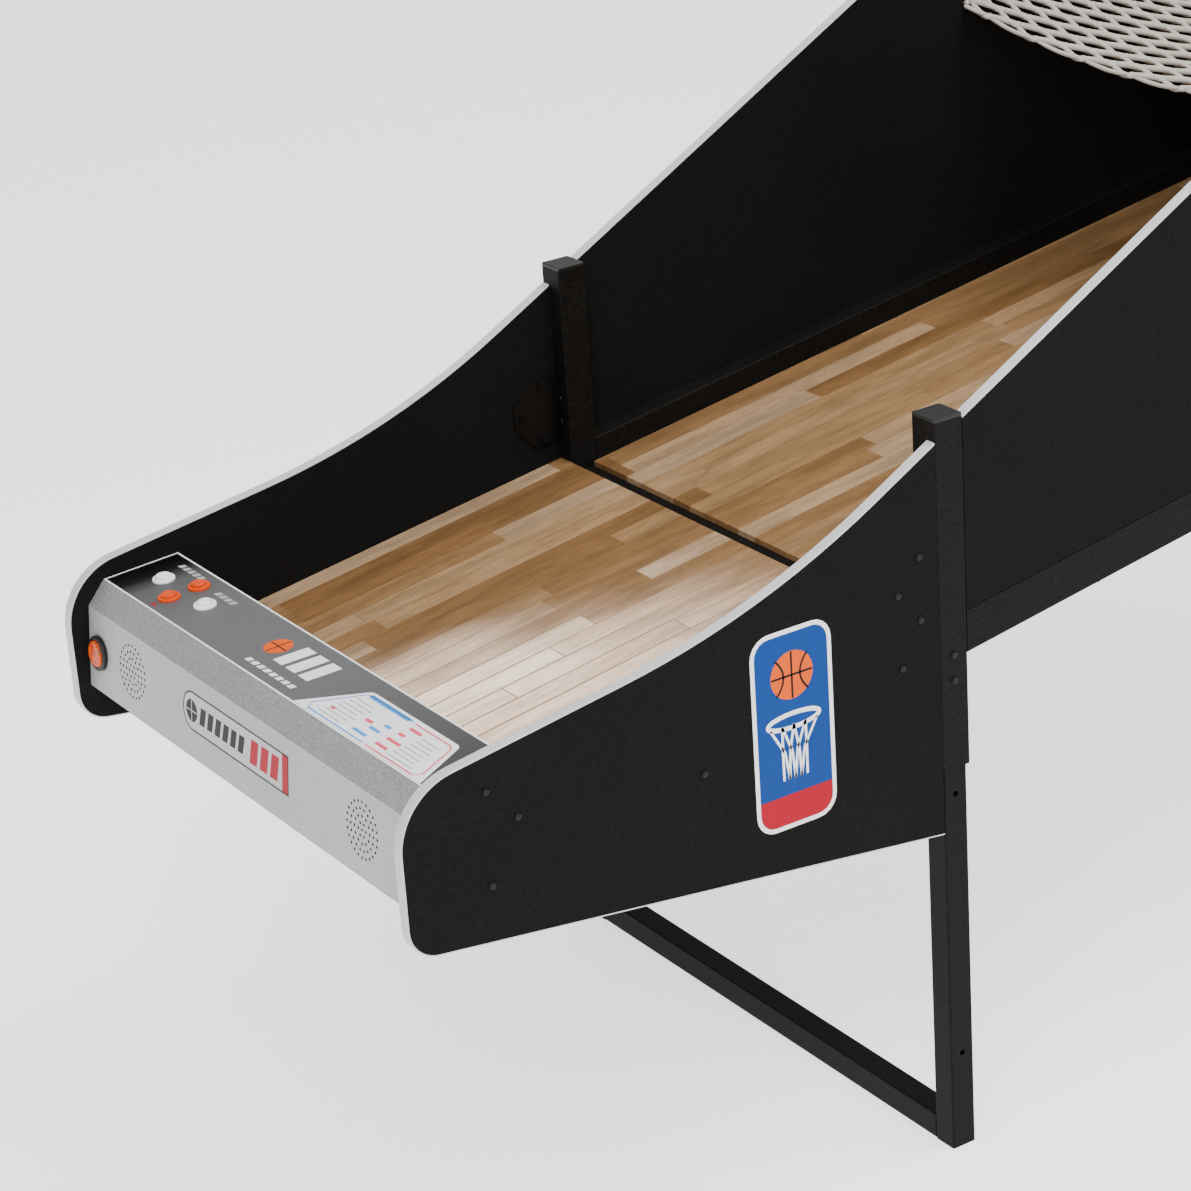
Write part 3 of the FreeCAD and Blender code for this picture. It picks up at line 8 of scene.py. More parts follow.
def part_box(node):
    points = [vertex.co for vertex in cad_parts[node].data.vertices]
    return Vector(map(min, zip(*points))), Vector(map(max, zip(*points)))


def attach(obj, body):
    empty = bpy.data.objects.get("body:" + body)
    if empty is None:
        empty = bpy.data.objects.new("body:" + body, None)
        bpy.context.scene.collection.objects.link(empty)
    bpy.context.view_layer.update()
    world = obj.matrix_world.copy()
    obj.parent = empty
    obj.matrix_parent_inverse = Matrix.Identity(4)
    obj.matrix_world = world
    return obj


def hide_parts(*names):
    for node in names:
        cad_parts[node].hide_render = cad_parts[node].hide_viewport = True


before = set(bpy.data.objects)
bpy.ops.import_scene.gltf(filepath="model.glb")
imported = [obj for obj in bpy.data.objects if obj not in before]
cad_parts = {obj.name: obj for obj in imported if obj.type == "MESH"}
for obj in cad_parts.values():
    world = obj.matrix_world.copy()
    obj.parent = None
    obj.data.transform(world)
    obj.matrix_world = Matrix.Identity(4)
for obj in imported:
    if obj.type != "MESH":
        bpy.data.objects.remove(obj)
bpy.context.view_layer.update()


# ---- Camera: stands to the right of the player's end, a little above the
# machine, and looks back along the ramp towards the left-hand panel.
LENS = 104.41
HEADING = 1.0069
PITCH = 0.4042
ROLL = -0.0694
STAND = (3.9803, -3.1618, 2.8401)
camera_data = bpy.data.cameras.new("camera")
camera_data.sensor_width = 36.0
camera_data.lens = LENS
camera_data.clip_end = 120.0
camera = bpy.data.objects.new("camera", camera_data)
bpy.context.scene.collection.objects.link(camera)
bpy.context.scene.camera = camera
ahead = Vector((-math.sin(HEADING) * math.cos(PITCH), math.cos(HEADING) * math.cos(PITCH), -math.sin(PITCH)))
level_right = ahead.cross(Vector((0, 0, 1))).normalized()
level_up = level_right.cross(ahead)
right = level_right * math.cos(ROLL) + level_up * math.sin(ROLL)
up = level_up * math.cos(ROLL) - level_right * math.sin(ROLL)
turn = Matrix((right, up, -ahead)).transposed()
camera.matrix_world = Matrix.Translation(STAND) @ turn.to_4x4()


# ---- Studio: a plain pale floor, a white surround and two large soft lamps,
# one high on the player's right and one over the machine.
def make_object(name, mesh):
    made = bpy.data.objects.new(name, mesh)
    bpy.context.scene.collection.objects.link(made)
    return made


def node(tree, kind, sockets=None, **settings):
    """Add a shader node. Sockets are values, or other nodes' outputs to link."""
    made = tree.nodes.new("ShaderNode" + kind)
    for key, value in settings.items():
        setattr(made, key, value)
    for key, value in (sockets or {}).items():
        if isinstance(value, bpy.types.NodeSocket):
            tree.links.new(value, made.inputs[key])
        else:
            made.inputs[key].default_value = value
    return made


def new_material(name):
    """An empty material and its tree, with a Principled shader on the output."""
    made = bpy.data.materials.new(name)
    made.use_nodes = True
    tree = made.node_tree
    tree.nodes.clear()
    shader = node(tree, "BsdfPrincipled")
    node(tree, "OutputMaterial", {"Surface": shader.outputs[0]})
    return made, tree, shader


def plug(tree, shader, **sockets):
    """Set or link a shader's sockets, named with underscores for spaces."""
    for key, value in sockets.items():
        socket = shader.inputs[key.replace("_", " ")]
        if isinstance(value, bpy.types.NodeSocket):
            tree.links.new(value, socket)
        else:
            socket.default_value = value


floor_mesh = bpy.data.meshes.new("studio_floor")
builder = bmesh.new()
bmesh.ops.create_grid(builder, x_segments=1, y_segments=1, size=40.0)
builder.to_mesh(floor_mesh)
builder.free()
studio_floor = make_object("studio_floor", floor_mesh)
floor_finish, tree, shader = new_material("studio_floor")
plug(tree, shader, Base_Color=(0.9, 0.9, 0.9, 1), Roughness=0.95, Emission_Color=(1, 1, 1, 1),
     Emission_Strength=1.3)
floor_mesh.materials.append(floor_finish)

world = bpy.data.worlds.new("surround")
world.use_nodes = True
world.node_tree.nodes["Background"].inputs["Color"].default_value = (1.0, 1.0, 1.0, 1)
world.node_tree.nodes["Background"].inputs["Strength"].default_value = 0.75
bpy.context.scene.world = world


def soft_lamp(name, place, target, size, power):
    data = bpy.data.lights.new(name, "AREA")
    data.shape = "SQUARE"
    data.size = size
    data.energy = power
    lamp = bpy.data.objects.new(name, data)
    bpy.context.scene.collection.objects.link(lamp)
    aim = Vector(target) - Vector(place)
    lamp.matrix_world = Matrix.Translation(place) @ aim.to_track_quat("-Z", "Y").to_matrix().to_4x4()


soft_lamp("key_lamp", (3.6, -3.4, 4.4), (0, 0, 1.0), 2.6, 230.0)
soft_lamp("top_lamp", (1.2, 0.6, 4.8), (-0.2, 0.0, 0.9), 2.6, 190.0)


# ---- Steel frame: legs, posts, floor bars, rails and crossbars of welded
# square tube, powder coated black with a fine, slightly rough texture.
def effect_group(name, inputs, outputs):
    """A new node group with its sockets, and its input and output nodes."""
    group = bpy.data.node_groups.new(name, "ShaderNodeTree")
    for label, kind, value in inputs:
        socket = group.interface.new_socket(label, in_out="INPUT", socket_type="NodeSocket" + kind)
        socket.default_value = value
    for label, kind in outputs:
        group.interface.new_socket(label, in_out="OUTPUT", socket_type="NodeSocket" + kind)
    start = group.nodes.new("NodeGroupInput")
    end = group.nodes.new("NodeGroupOutput")
    return group, start, end


grained, start, end = effect_group(
    "grained_finish",
    [("Colour", "Color", (0.5, 0.5, 0.5, 1)), ("Fleck Colour", "Color", (0.5, 0.5, 0.5, 1)),
     ("Fleck Share", "Float", 0.4), ("Fleck Scale", "Float", 700.0),
     ("Roughness", "Float", 0.5), ("Roughness Spread", "Float", 0.1), ("Unevenness", "Float", 0.12)],
    [("Colour", "Color"), ("Roughness", "Float"), ("Height", "Float")])
place = node(grained, "TexCoord").outputs["Object"]
fleck = node(grained, "TexNoise", {"Vector": place, "Scale": start.outputs["Fleck Scale"], "Detail": 2.0})
cloud = node(grained, "TexNoise", {"Vector": place, "Scale": 3.5, "Detail": 4.0, "Roughness": 0.6})
sharp = node(grained, "MapRange", {"Value": fleck.outputs["Fac"], "From Min": 0.42, "From Max": 0.62})
share = node(grained, "Math", {0: sharp.outputs[0], 1: start.outputs["Fleck Share"]}, operation="MULTIPLY")
flecked = node(grained, "Mix", {"Factor": share.outputs[0], "A": start.outputs["Colour"],
                                "B": start.outputs["Fleck Colour"]}, data_type="RGBA")
darker = node(grained, "Math", {0: 1.0, 1: start.outputs["Unevenness"]}, operation="SUBTRACT")
soft = node(grained, "MapRange", {"Value": cloud.outputs["Fac"], "From Min": 0.3, "From Max": 0.7,
                                  "To Min": darker.outputs[0], "To Max": 1.04})
shaded = node(grained, "Mix", {"Factor": 1.0, "A": flecked.outputs["Result"], "B": soft.outputs[0]},
              data_type="RGBA", blend_type="MULTIPLY")
grained.links.new(shaded.outputs["Result"], end.inputs["Colour"])
centred = node(grained, "Math", {0: cloud.outputs["Fac"], 1: 0.5}, operation="SUBTRACT")
rougher = node(grained, "Math", {0: centred.outputs[0], 1: start.outputs["Roughness Spread"],
                                 2: start.outputs["Roughness"]}, operation="MULTIPLY_ADD")
grained.links.new(rougher.outputs[0], end.inputs["Roughness"])
grained.links.new(fleck.outputs["Fac"], end.inputs["Height"])


def grained_material(name, colour, fleck_colour, share, scale, rough, spread, bump, uneven=0.12, **extra):
    """Material over the grained finish; bump is its depth in metres."""
    made, tree, shader = new_material(name)
    finish = node(tree, "Group", node_tree=grained)
    plug(tree, finish, Colour=(*colour, 1), Fleck_Colour=(*fleck_colour, 1), Fleck_Share=share,
         Fleck_Scale=scale, Roughness=rough, Roughness_Spread=spread, Unevenness=uneven)
    relief = node(tree, "Bump", {"Height": finish.outputs["Height"], "Strength": 0.6, "Distance": bump})
    plug(tree, shader, Base_Color=finish.outputs["Colour"], Roughness=finish.outputs["Roughness"],
         Normal=relief.outputs[0], **extra)
    return made


def paint(material, *nodes):
    """Give CAD pieces their finish in place of the plain one."""
    for name in nodes:
        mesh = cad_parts[name].data
        mesh.materials.clear()
        mesh.materials.append(material)


powder_coat = grained_material("powder_coat", (0.0048, 0.0046, 0.0043), (0.016, 0.0142, 0.0125), 0.5, 420.0,
                               0.5, 0.12, 0.0003, Specular_IOR_Level=0.05)
paint(powder_coat, "front_leg_left", "front_leg_right", "rear_leg_left", "rear_leg_right",
      "front_floor_bar", "rear_floor_bar", "front_post_left", "front_post_right", "rear_post_left",
      "rear_post_right", "side_rail_left", "side_rail_right", "front_crossbar", "rear_crossbar",
      "top_crossbar", "ramp_joists", "console_cover")
cap_plastic = grained_material("cap_plastic", (0.006, 0.006, 0.006), (0.015, 0.015, 0.015), 0.3, 300.0,
                               0.42, 0.1, 0.0002, Specular_IOR_Level=0.3)
paint(cap_plastic, "post_caps", "power_inlet", "power_rocker",
      "micro_switches", "start_housing", "scoreboard_display", "sensor_cable")


# ---- Side panels and back panel: thick board faced with a matt black
# melamine, cut to shape and grooved round the edge.
melamine = grained_material("black_melamine", (0.0076, 0.0072, 0.0067), (0.0135, 0.0128, 0.012), 0.4, 260.0,
                            0.62, 0.1, 0.00012, Specular_IOR_Level=0.02)
paint(melamine, "front_panel_left", "front_panel_right", "rear_panel_left", "rear_panel_right",
      "back_panel", "scoreboard_case")


# ---- Side decals: rounded vinyl stickers on the outside of the front panels,
# a white edge, a blue field, and a plain ball over a hoop and net.
MM = 0.001
MIDDLE = 391.0      # millimetres from the front posts' face to the machine's middle
HALF_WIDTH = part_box("front_panel_right")[1].x / MM


def at(x, station, z):
    """Place from millimetres across, behind the front posts' face and over the floor."""
    return Vector((x, station - MIDDLE, z)) * MM


def plane(origin, along, up):
    """Matrix from millimetres along, up and out of a surface to the machine."""
    along = Vector(along)
    up = Vector(up)
    out = along.cross(up).normalized()
    return Matrix.Translation(origin) @ (Matrix((along, up, out)).transposed() * MM).to_4x4()


def outline(corners, radii, steps=5):
    """Polygon with rounded corners, counter-clockwise; one radius to a corner."""
    made = []
    for i, radius in enumerate(radii):
        here = Vector(corners[i])
        before = (Vector(corners[i - 1]) - here).normalized()
        after = (Vector(corners[(i + 1) % len(corners)]) - here).normalized()
        if radius == 0:
            made.append(tuple(here))
            continue
        half = before.angle(after) / 2
        start = before * (radius / math.tan(half))
        centre = (before + after).normalized() * (radius / math.sin(half))
        for step in range(steps + 1):
            turn = Matrix.Rotation((math.pi - 2 * half) * step / steps, 2)
            made.append(tuple(here + centre + turn @ (start - centre)))
    return made


def rectangle(u0, u1, v0, v1, radius=0.0):
    return outline([(u0, v0), (u1, v0), (u1, v1), (u0, v1)], [radius] * 4)


def disc(u, v, radius, flat=1.0, count=36):
    turns = [2 * math.pi * i / count for i in range(count)]
    return [(u + radius * math.cos(t), v + radius * flat * math.sin(t)) for t in turns]


def band(outer, inner):
    """Quads between two outlines with the same number of points."""
    return [[outer[i - 1], outer[i], inner[i], inner[i - 1]] for i in range(len(outer))]


def stroke(points, width, closed=False):
    """Quads of a line of this width through the points."""
    sides = []
    for i, here in enumerate(points):
        before = points[i - 1] if closed or i > 0 else here
        after = points[(i + 1) % len(points)] if closed or i < len(points) - 1 else here
        way = (Vector(after) - Vector(before)).normalized() * (width / 2)
        sides.append(((here[0] - way.y, here[1] + way.x), (here[0] + way.y, here[1] - way.x)))
    first = 0 if closed else 1
    return [[sides[i - 1][1], sides[i][1], sides[i][0], sides[i - 1][0]] for i in range(first, len(points))]


def finished(name, builder, material, body="machine"):
    """Close a bmesh into a piece that goes with a body."""
    mesh = bpy.data.meshes.new(name)
    builder.to_mesh(mesh)
    builder.free()
    mesh.materials.append(material)
    made = make_object(name, mesh)
    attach(made, body)
    return made


def printed(name, outlines, surface, material, lift=0.0, thick=0.12):
    """Thin printed or stuck-on shapes, closed all round, lying on a surface."""
    builder = bmesh.new()
    for points in outlines:
        builder.faces.new([builder.verts.new((u, v, lift)) for u, v in points])
    bmesh.ops.remove_doubles(builder, verts=builder.verts, dist=0.001)
    raised = bmesh.ops.extrude_face_region(builder, geom=builder.faces[:])["geom"]
    tops = [part for part in raised if isinstance(part, bmesh.types.BMVert)]
    bmesh.ops.translate(builder, verts=tops, vec=(0, 0, thick))
    bmesh.ops.recalc_face_normals(builder, faces=builder.faces)
    bmesh.ops.transform(builder, matrix=surface, verts=builder.verts)
    return finished(name, builder, material)


def ink(name, colour, rough=0.42):
    """Printed vinyl: nearly even colour with a faint fleck."""
    paler = [min(1.0, part * 1.18 + 0.004) for part in colour]
    return grained_material(name, colour, paler, 0.35, 420.0, rough, 0.08, 0.00004, 0.06,
                            Specular_IOR_Level=0.1)


white_ink = ink("white_vinyl", (0.80, 0.80, 0.81))
blue_ink = ink("blue_vinyl", (0.0006, 0.038, 0.20))
red_ink = ink("red_vinyl", (0.33, 0.0006, 0.014))
orange_ink = ink("orange_vinyl", (0.66, 0.085, 0.001))
dark_ink = ink("dark_vinyl", (0.007, 0.007, 0.008))
DECAL_WIDE = 138.0
DECAL_MIDDLE = 259.0     # millimetres ahead of the posts
DECAL_FOOT = 637.0
DECAL_TOP = 938.0
# heights of the printed layers over the sheet below them, in millimetres
SECOND_LAYER = 0.14
THIRD_LAYER = 0.28
FOURTH_LAYER = 0.42
BALL_HIGH = 868
BALL_RADIUS = 36
SEAM_WIDE = 3.2
STRAND_HEIGHTS = (794, 754, 712)
for hand, side in (("right", 1), ("left", -1)):
    face = plane(at(side * HALF_WIDTH, 0, 0), (0, side, 0), (0, 0, 1))
    middle = -side * DECAL_MIDDLE
    left = middle - DECAL_WIDE / 2
    right_edge = middle + DECAL_WIDE / 2
    edge = rectangle(left, right_edge, DECAL_FOOT, DECAL_TOP, 32.0)
    field = rectangle(left + 7, right_edge - 7, DECAL_FOOT + 7, DECAL_TOP - 7, 25.0)
    printed("decal_edge_" + hand, [edge], face, white_ink)
    printed("decal_field_" + hand, [field], face, blue_ink, SECOND_LAYER)
    foot = [(left + 7, DECAL_FOOT + 7), (right_edge - 7, DECAL_FOOT + 7), (right_edge - 7, DECAL_FOOT + 52),
            (left + 7, DECAL_FOOT + 52)]
    printed("decal_band_" + hand, [outline(foot, (25.0, 25.0, 0, 0))], face, red_ink, THIRD_LAYER)
    printed("decal_ball_" + hand, [disc(middle, BALL_HIGH, BALL_RADIUS)], face, orange_ink, THIRD_LAYER)
    seams = stroke([(middle, BALL_HIGH - 35), (middle, BALL_HIGH + 35)], SEAM_WIDE)
    seams += stroke([(middle - 35, BALL_HIGH), (middle + 35, BALL_HIGH)], SEAM_WIDE)
    for way in (-1, 1):
        bow = [(middle + way * (14 + 13 * (v / 27) ** 2), BALL_HIGH + v) for v in range(-27, 28, 6)]
        seams += stroke(bow, SEAM_WIDE)
    printed("decal_seams_" + hand, seams, face, dark_ink, FOURTH_LAYER)
    hoop = stroke(disc(middle, 800, 44, 0.24), 7.0, closed=True)
    for i in range(5):
        top = -40 + 20 * i
        for way in (1, -1):
            if 0 <= i + way < 5:
                across = (middle + top, middle + top * 0.62 + way * 8, middle + top * 0.5 + way * 10)
                hoop += stroke(list(zip(across, STRAND_HEIGHTS)), 4.0)
    printed("decal_hoop_" + hand, hoop, face, white_ink, THIRD_LAYER)


# ---- Edge trim: light grey T-mould pressed into the groove round each
# panel's free edges, with a fine pebbled face.
t_mould = grained_material("t_mould", (0.50, 0.50, 0.51), (0.66, 0.66, 0.66), 0.5, 600.0, 0.5, 0.1, 0.0003)
paint(t_mould, "front_trims", "rear_trims")


# ---- Ramps: thin board printed with a maple-plank court pattern under a
# glossy lacquer; the planks run up the ramp.
planks, tree, shader = new_material("court_planks")
PLANK = 0.0432
spot = node(tree, "TexCoord").outputs["Object"]
axes = node(tree, "SeparateXYZ", {0: spot})


def calc(tree, operation, first, second=0.0, third=0.0):
    return node(tree, "Math", {0: first, 1: second, 2: third}, operation=operation).outputs[0]


def span(tree, value, low, high, out_low=0.0, out_high=1.0):
    """Smooth step of a value between two limits."""
    step = node(tree, "MapRange", {"Value": value, "From Min": low, "From Max": high, "To Min": out_low,
                                   "To Max": out_high}, interpolation_type="SMOOTHSTEP")
    return step.outputs[0]


def blend_colour(tree, share, first, second, blend_type="MIX"):
    sockets = {"Factor": share, "A": first, "B": second}
    mixed = node(tree, "Mix", sockets, data_type="RGBA", blend_type=blend_type)
    return mixed.outputs["Result"]


across = calc(tree, "DIVIDE", calc(tree, "ADD", axes.outputs["X"], 0.0036), PLANK)
column = calc(tree, "FLOOR", across)
column_seed = node(tree, "CombineXYZ", {"X": column, "Y": 3.7})
column_random = node(tree, "TexWhiteNoise", {"Vector": column_seed.outputs[0]}, noise_dimensions="3D")
run = calc(tree, "MULTIPLY_ADD", column_random.outputs["Value"], 7.0, axes.outputs["Y"])
run = calc(tree, "DIVIDE", run, 0.62)
row = calc(tree, "FLOOR", run)
plank_seed = node(tree, "CombineXYZ", {"X": column, "Y": row, "Z": 1.3})
plank_random = node(tree, "TexWhiteNoise", {"Vector": plank_seed.outputs[0]}, noise_dimensions="3D")
chance = plank_random.outputs["Value"]
tones = node(tree, "ValToRGB", {"Fac": chance})
shades = [(0.0, (0.145, 0.072, 0.026)), (0.2, (0.215, 0.120, 0.052)), (0.5, (0.265, 0.156, 0.074)),
          (0.78, (0.290, 0.178, 0.090)), (0.88, (0.305, 0.196, 0.108)), (1.0, (0.330, 0.222, 0.134))]
ramp = tones.color_ramp
while len(ramp.elements) < len(shades):
    ramp.elements.new(0.5)
for element, (stop, shade) in zip(ramp.elements, shades):
    element.position = stop
    element.color = (*shade, 1)
# painted reflection: a pale patch over the planks towards the front and right, where the lamps would reflect
# in the lacquer, fading out towards the rear
drift = node(tree, "TexNoise", {"Vector": spot, "Scale": 5.0, "Detail": 2.0})
reflection_line = calc(tree, "MULTIPLY_ADD", axes.outputs["Y"], -0.42, axes.outputs["X"])
reflection_line = calc(tree, "MULTIPLY_ADD", chance, 0.09, reflection_line)
reflection_line = calc(tree, "MULTIPLY_ADD", drift.outputs["Fac"], 0.14, reflection_line)
painted_reflection = span(tree, reflection_line, 0.28, 0.52)
reflection_fade = span(tree, axes.outputs["Y"], -0.85, -0.30, 1.0, 0.0)
painted_reflection = calc(tree, "MULTIPLY", painted_reflection, reflection_fade)
reflection_tone = blend_colour(tree, chance, (0.92, 0.66, 0.48, 1), (1.0, 0.82, 0.64, 1))
tone_and_reflection = blend_colour(tree, painted_reflection, tones.outputs["Color"], reflection_tone)
stretch = node(tree, "Mapping", {"Vector": spot, "Scale": (1.0, 0.045, 1.0)})
shifted = node(tree, "VectorMath", {0: stretch.outputs[0], 1: plank_random.outputs["Color"]}, operation="ADD")
grain = node(tree, "TexNoise", {"Vector": shifted.outputs[0], "Scale": 170.0, "Detail": 5.0,
                                "Roughness": 0.62, "Distortion": 0.3})
figure = node(tree, "TexNoise", {"Vector": shifted.outputs[0], "Scale": 38.0, "Detail": 2.0})
grain_shade = span(tree, grain.outputs["Fac"], 0.3, 0.7, 0.86, 1.10)
figure_shade = span(tree, figure.outputs["Fac"], 0.3, 0.7, 0.80, 1.14)
wood = blend_colour(tree, 1.0, tone_and_reflection, calc(tree, "MULTIPLY", grain_shade, figure_shade), "MULTIPLY")
side = calc(tree, "PINGPONG", across, 0.5)
end_gap = calc(tree, "PINGPONG", run, 0.5)
side_seam = calc(tree, "LESS_THAN", side, 0.027)
end_seam = calc(tree, "LESS_THAN", end_gap, 0.0013)
seam = calc(tree, "MAXIMUM", side_seam, end_seam)
# the dark seams show most inside the painted reflection
seam_share = calc(tree, "MULTIPLY_ADD", painted_reflection, 0.85, 0.15)
seamed = blend_colour(tree, calc(tree, "MULTIPLY", seam, seam_share), wood, (0.10, 0.05, 0.022, 1))
lacquer = node(tree, "MapRange", {"Value": grain.outputs["Fac"], "To Min": 0.30, "To Max": 0.42})
low_relief = calc(tree, "MULTIPLY_ADD", seam, -1.0, grain.outputs["Fac"])
relief = node(tree, "Bump", {"Height": low_relief, "Strength": 0.2, "Distance": 0.0003})
plug(tree, shader, Base_Color=seamed, Roughness=lacquer.outputs[0], Normal=relief.outputs[0],
     Specular_IOR_Level=0.12, Coat_Weight=0.04, Coat_Roughness=0.2)
paint(planks, "front_ramp", "rear_ramp")


# ---- Console: folded sheet steel box across the front, silver painted with a
# fine metallic fleck. The buttons, speakers and graphics sit on it.
silver = grained_material("silver_paint", (0.33, 0.33, 0.335), (0.45, 0.45, 0.455), 0.5, 330.0, 0.48, 0.1,
                          0.0001, Metallic=0.15)
# a darker copy of the silver paint for the sloping chamfer: painted shade
silver_bevel_painted_shade = grained_material("silver_bevel_painted_shade", (0.225, 0.225, 0.235), (0.38, 0.38, 0.39), 0.65, 330.0, 0.45,
                                0.1, 0.0002, Metallic=0.2)
paint(silver, "console_shell")
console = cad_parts["console_shell"].data
console.materials.append(silver_bevel_painted_shade)
# near-black for the walls of the speaker holes: painted shade in the holes
shadowed = grained_material("hole_wall_painted_shade", (0.02, 0.02, 0.02), (0.04, 0.04, 0.04), 0.4, 500.0, 0.7, 0.1,
                            0.0001)
console.materials.append(shadowed)
speakers = [sum(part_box(name), Vector()) / 2 for name in ("speaker_left", "speaker_right")]
SHADED_CHAMFER_SLOT = 1
HOLE_SLOT = 2
GRILLE_REACH = 0.062
HOLE_WALL_AREA = 0.0001
for polygon in console.polygons:
    # the sloping chamfer faces take the darker silver, as painted shade
    if 0.5 < polygon.normal.z < 0.9 and polygon.normal.y < -0.3:
        polygon.material_index = SHADED_CHAMFER_SLOT
    near = min(abs(polygon.center.x - spot.x) + abs(polygon.center.z - spot.z) for spot in speakers)
    # hole walls near the speakers take the near-black, as painted shade
    if near < GRILLE_REACH and polygon.area < HOLE_WALL_AREA and abs(polygon.normal.y) < 0.9:
        polygon.material_index = HOLE_SLOT
white_gloss = grained_material("white_gloss", (0.90, 0.90, 0.89), (0.95, 0.95, 0.94), 0.3, 90.0, 0.25, 0.08,
                               0.00005, 0.04)
orange_gloss = grained_material("orange_gloss", (0.60, 0.047, 0.0004), (0.78, 0.085, 0.0008), 0.5, 260.0,
                                0.28, 0.08, 0.00012, 0.08, Specular_IOR_Level=0.12)
# black paper speaker cones, made darker still as painted shade inside the console
cone_paper_and_shade = grained_material("cone_paper_and_shade", (0.002, 0.002, 0.002), (0.004, 0.004, 0.004), 0.3, 500.0, 0.85,
                              0.05, 0.0001, Specular_IOR_Level=0.05)
paint(cone_paper_and_shade, "speaker_left", "speaker_right")
paint(white_gloss, "button_left", "button_right")
paint(orange_gloss, "button_back", "button_front")
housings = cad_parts["button_housings"].data
housings.materials.clear()
housings.materials.append(white_gloss)
housings.materials.append(orange_gloss)
orange_low, orange_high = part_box("button_back")
for polygon in housings.polygons:
    inside = orange_low.x - 0.01 < polygon.center.x < orange_high.x + 0.01
    polygon.material_index = 1 if inside else 0

# the start button is a clear orange dome over a darker lamp holder
start_lens, tree, shader = new_material("start_lens")
spot = node(tree, "TexCoord").outputs["Object"]
facets = node(tree, "TexVoronoi", {"Vector": spot, "Scale": 230.0})
blotch = node(tree, "TexNoise", {"Vector": spot, "Scale": 95.0, "Detail": 3.0})
glow = blend_colour(tree, span(tree, facets.outputs["Distance"], 0.1, 0.75), (0.80, 0.105, 0.001, 1),
                    (0.36, 0.032, 0.0005, 1))
# dark grey blotches over the lens: painted shadow
shadow_share = span(tree, blotch.outputs["Fac"], 0.57, 0.66)
glow = blend_colour(tree, calc(tree, "MULTIPLY", shadow_share, 0.8), glow, (0.06, 0.055, 0.045, 1))
relief = node(tree, "Bump", {"Height": facets.outputs["Distance"], "Strength": 0.4, "Distance": 0.0004})
plug(tree, shader, Base_Color=glow, Roughness=0.2, Normal=relief.outputs[0], Specular_IOR_Level=0.15,
     Coat_Weight=0.05, Coat_Roughness=0.08)
paint(start_lens, "start_button")


# ---- Console overlay: a printed plastic sheet stuck on the console's top, cut
# out round the buttons and edged with a bright strip.
TOP_REAR = (-697.0, 873.9)      # station and height of the top's rear edge
TOP_FRONT = (-824.3, 866.3)
top_rise = (TOP_REAR[1] - TOP_FRONT[1]) / (TOP_REAR[0] - TOP_FRONT[0])
console_top = plane(at(0, TOP_REAR[0], TOP_REAR[1]), (1, 0, 0), (0, 1, top_rise))
CONSOLE_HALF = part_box("console_shell")[1].x / MM - 0.6
OVERLAY = 0.3
EDGE_STRIP = 3.0
deep = TOP_REAR[0] - TOP_FRONT[0]


def on_overlay(*points):
    """Stations of overlay points turned into distances from the rear edge."""
    return [(u, v - TOP_REAR[0]) for u, v in points]


overlay_print, tree, shader = new_material("overlay_print")
axes = node(tree, "SeparateXYZ", {0: node(tree, "TexCoord").outputs["Object"]})
tones = node(tree, "ValToRGB", {"Fac": span(tree, axes.outputs["X"], -0.48, 0.48)})
tones.inputs[0].links[0].from_node.interpolation_type = "LINEAR"
grey_stops = [(0.0, 0.002), (0.055, 0.003), (0.10, 0.07), (0.25, 0.10), (0.6, 0.098), (0.86, 0.06),
              (1.0, 0.032)]
ramp = tones.color_ramp
while len(ramp.elements) < len(grey_stops):
    ramp.elements.new(0.5)
for element, (stop, grey) in zip(ramp.elements, grey_stops):
    element.position = stop
    element.color = (grey, grey, grey * 1.02, 1)
spot = node(tree, "TexCoord").outputs["Object"]
haze = node(tree, "TexNoise", {"Vector": spot, "Scale": 700.0, "Detail": 2.0})
haze_shade = span(tree, haze.outputs["Fac"], 0.3, 0.7, 0.93, 1.07)
hazed = blend_colour(tree, 1.0, tones.outputs["Color"], haze_shade, "MULTIPLY")
gloss = node(tree, "MapRange", {"Value": haze.outputs["Fac"], "To Min": 0.34, "To Max": 0.46})
plug(tree, shader, Base_Color=hazed, Roughness=gloss.outputs[0], Specular_IOR_Level=0.2)

builder = bmesh.new()
loops = [rectangle(-CONSOLE_HALF, CONSOLE_HALF, -deep, -0.2)]
for button in ("button_left", "button_back", "button_front", "button_right"):
    low_corner, high_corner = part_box(button)
    centre = (low_corner + high_corner) / 2 / MM
    loops.append(disc(centre.x, centre.y + MIDDLE - TOP_REAR[0] - 0.4, 15.5))
for points in loops:
    ring = [builder.verts.new((u, v, 0)) for u, v in points]
    for i in range(len(ring)):
        builder.edges.new((ring[i - 1], ring[i]))
bmesh.ops.triangle_fill(builder, edges=builder.edges[:], use_beauty=True)
raised = bmesh.ops.extrude_face_region(builder, geom=builder.faces[:])["geom"]
raised_points = [v for v in raised if isinstance(v, bmesh.types.BMVert)]
bmesh.ops.translate(builder, verts=raised_points, vec=(0, 0, OVERLAY))
bmesh.ops.recalc_face_normals(builder, faces=builder.faces)
bmesh.ops.transform(builder, matrix=console_top, verts=builder.verts)
finished("console_overlay", builder, overlay_print)

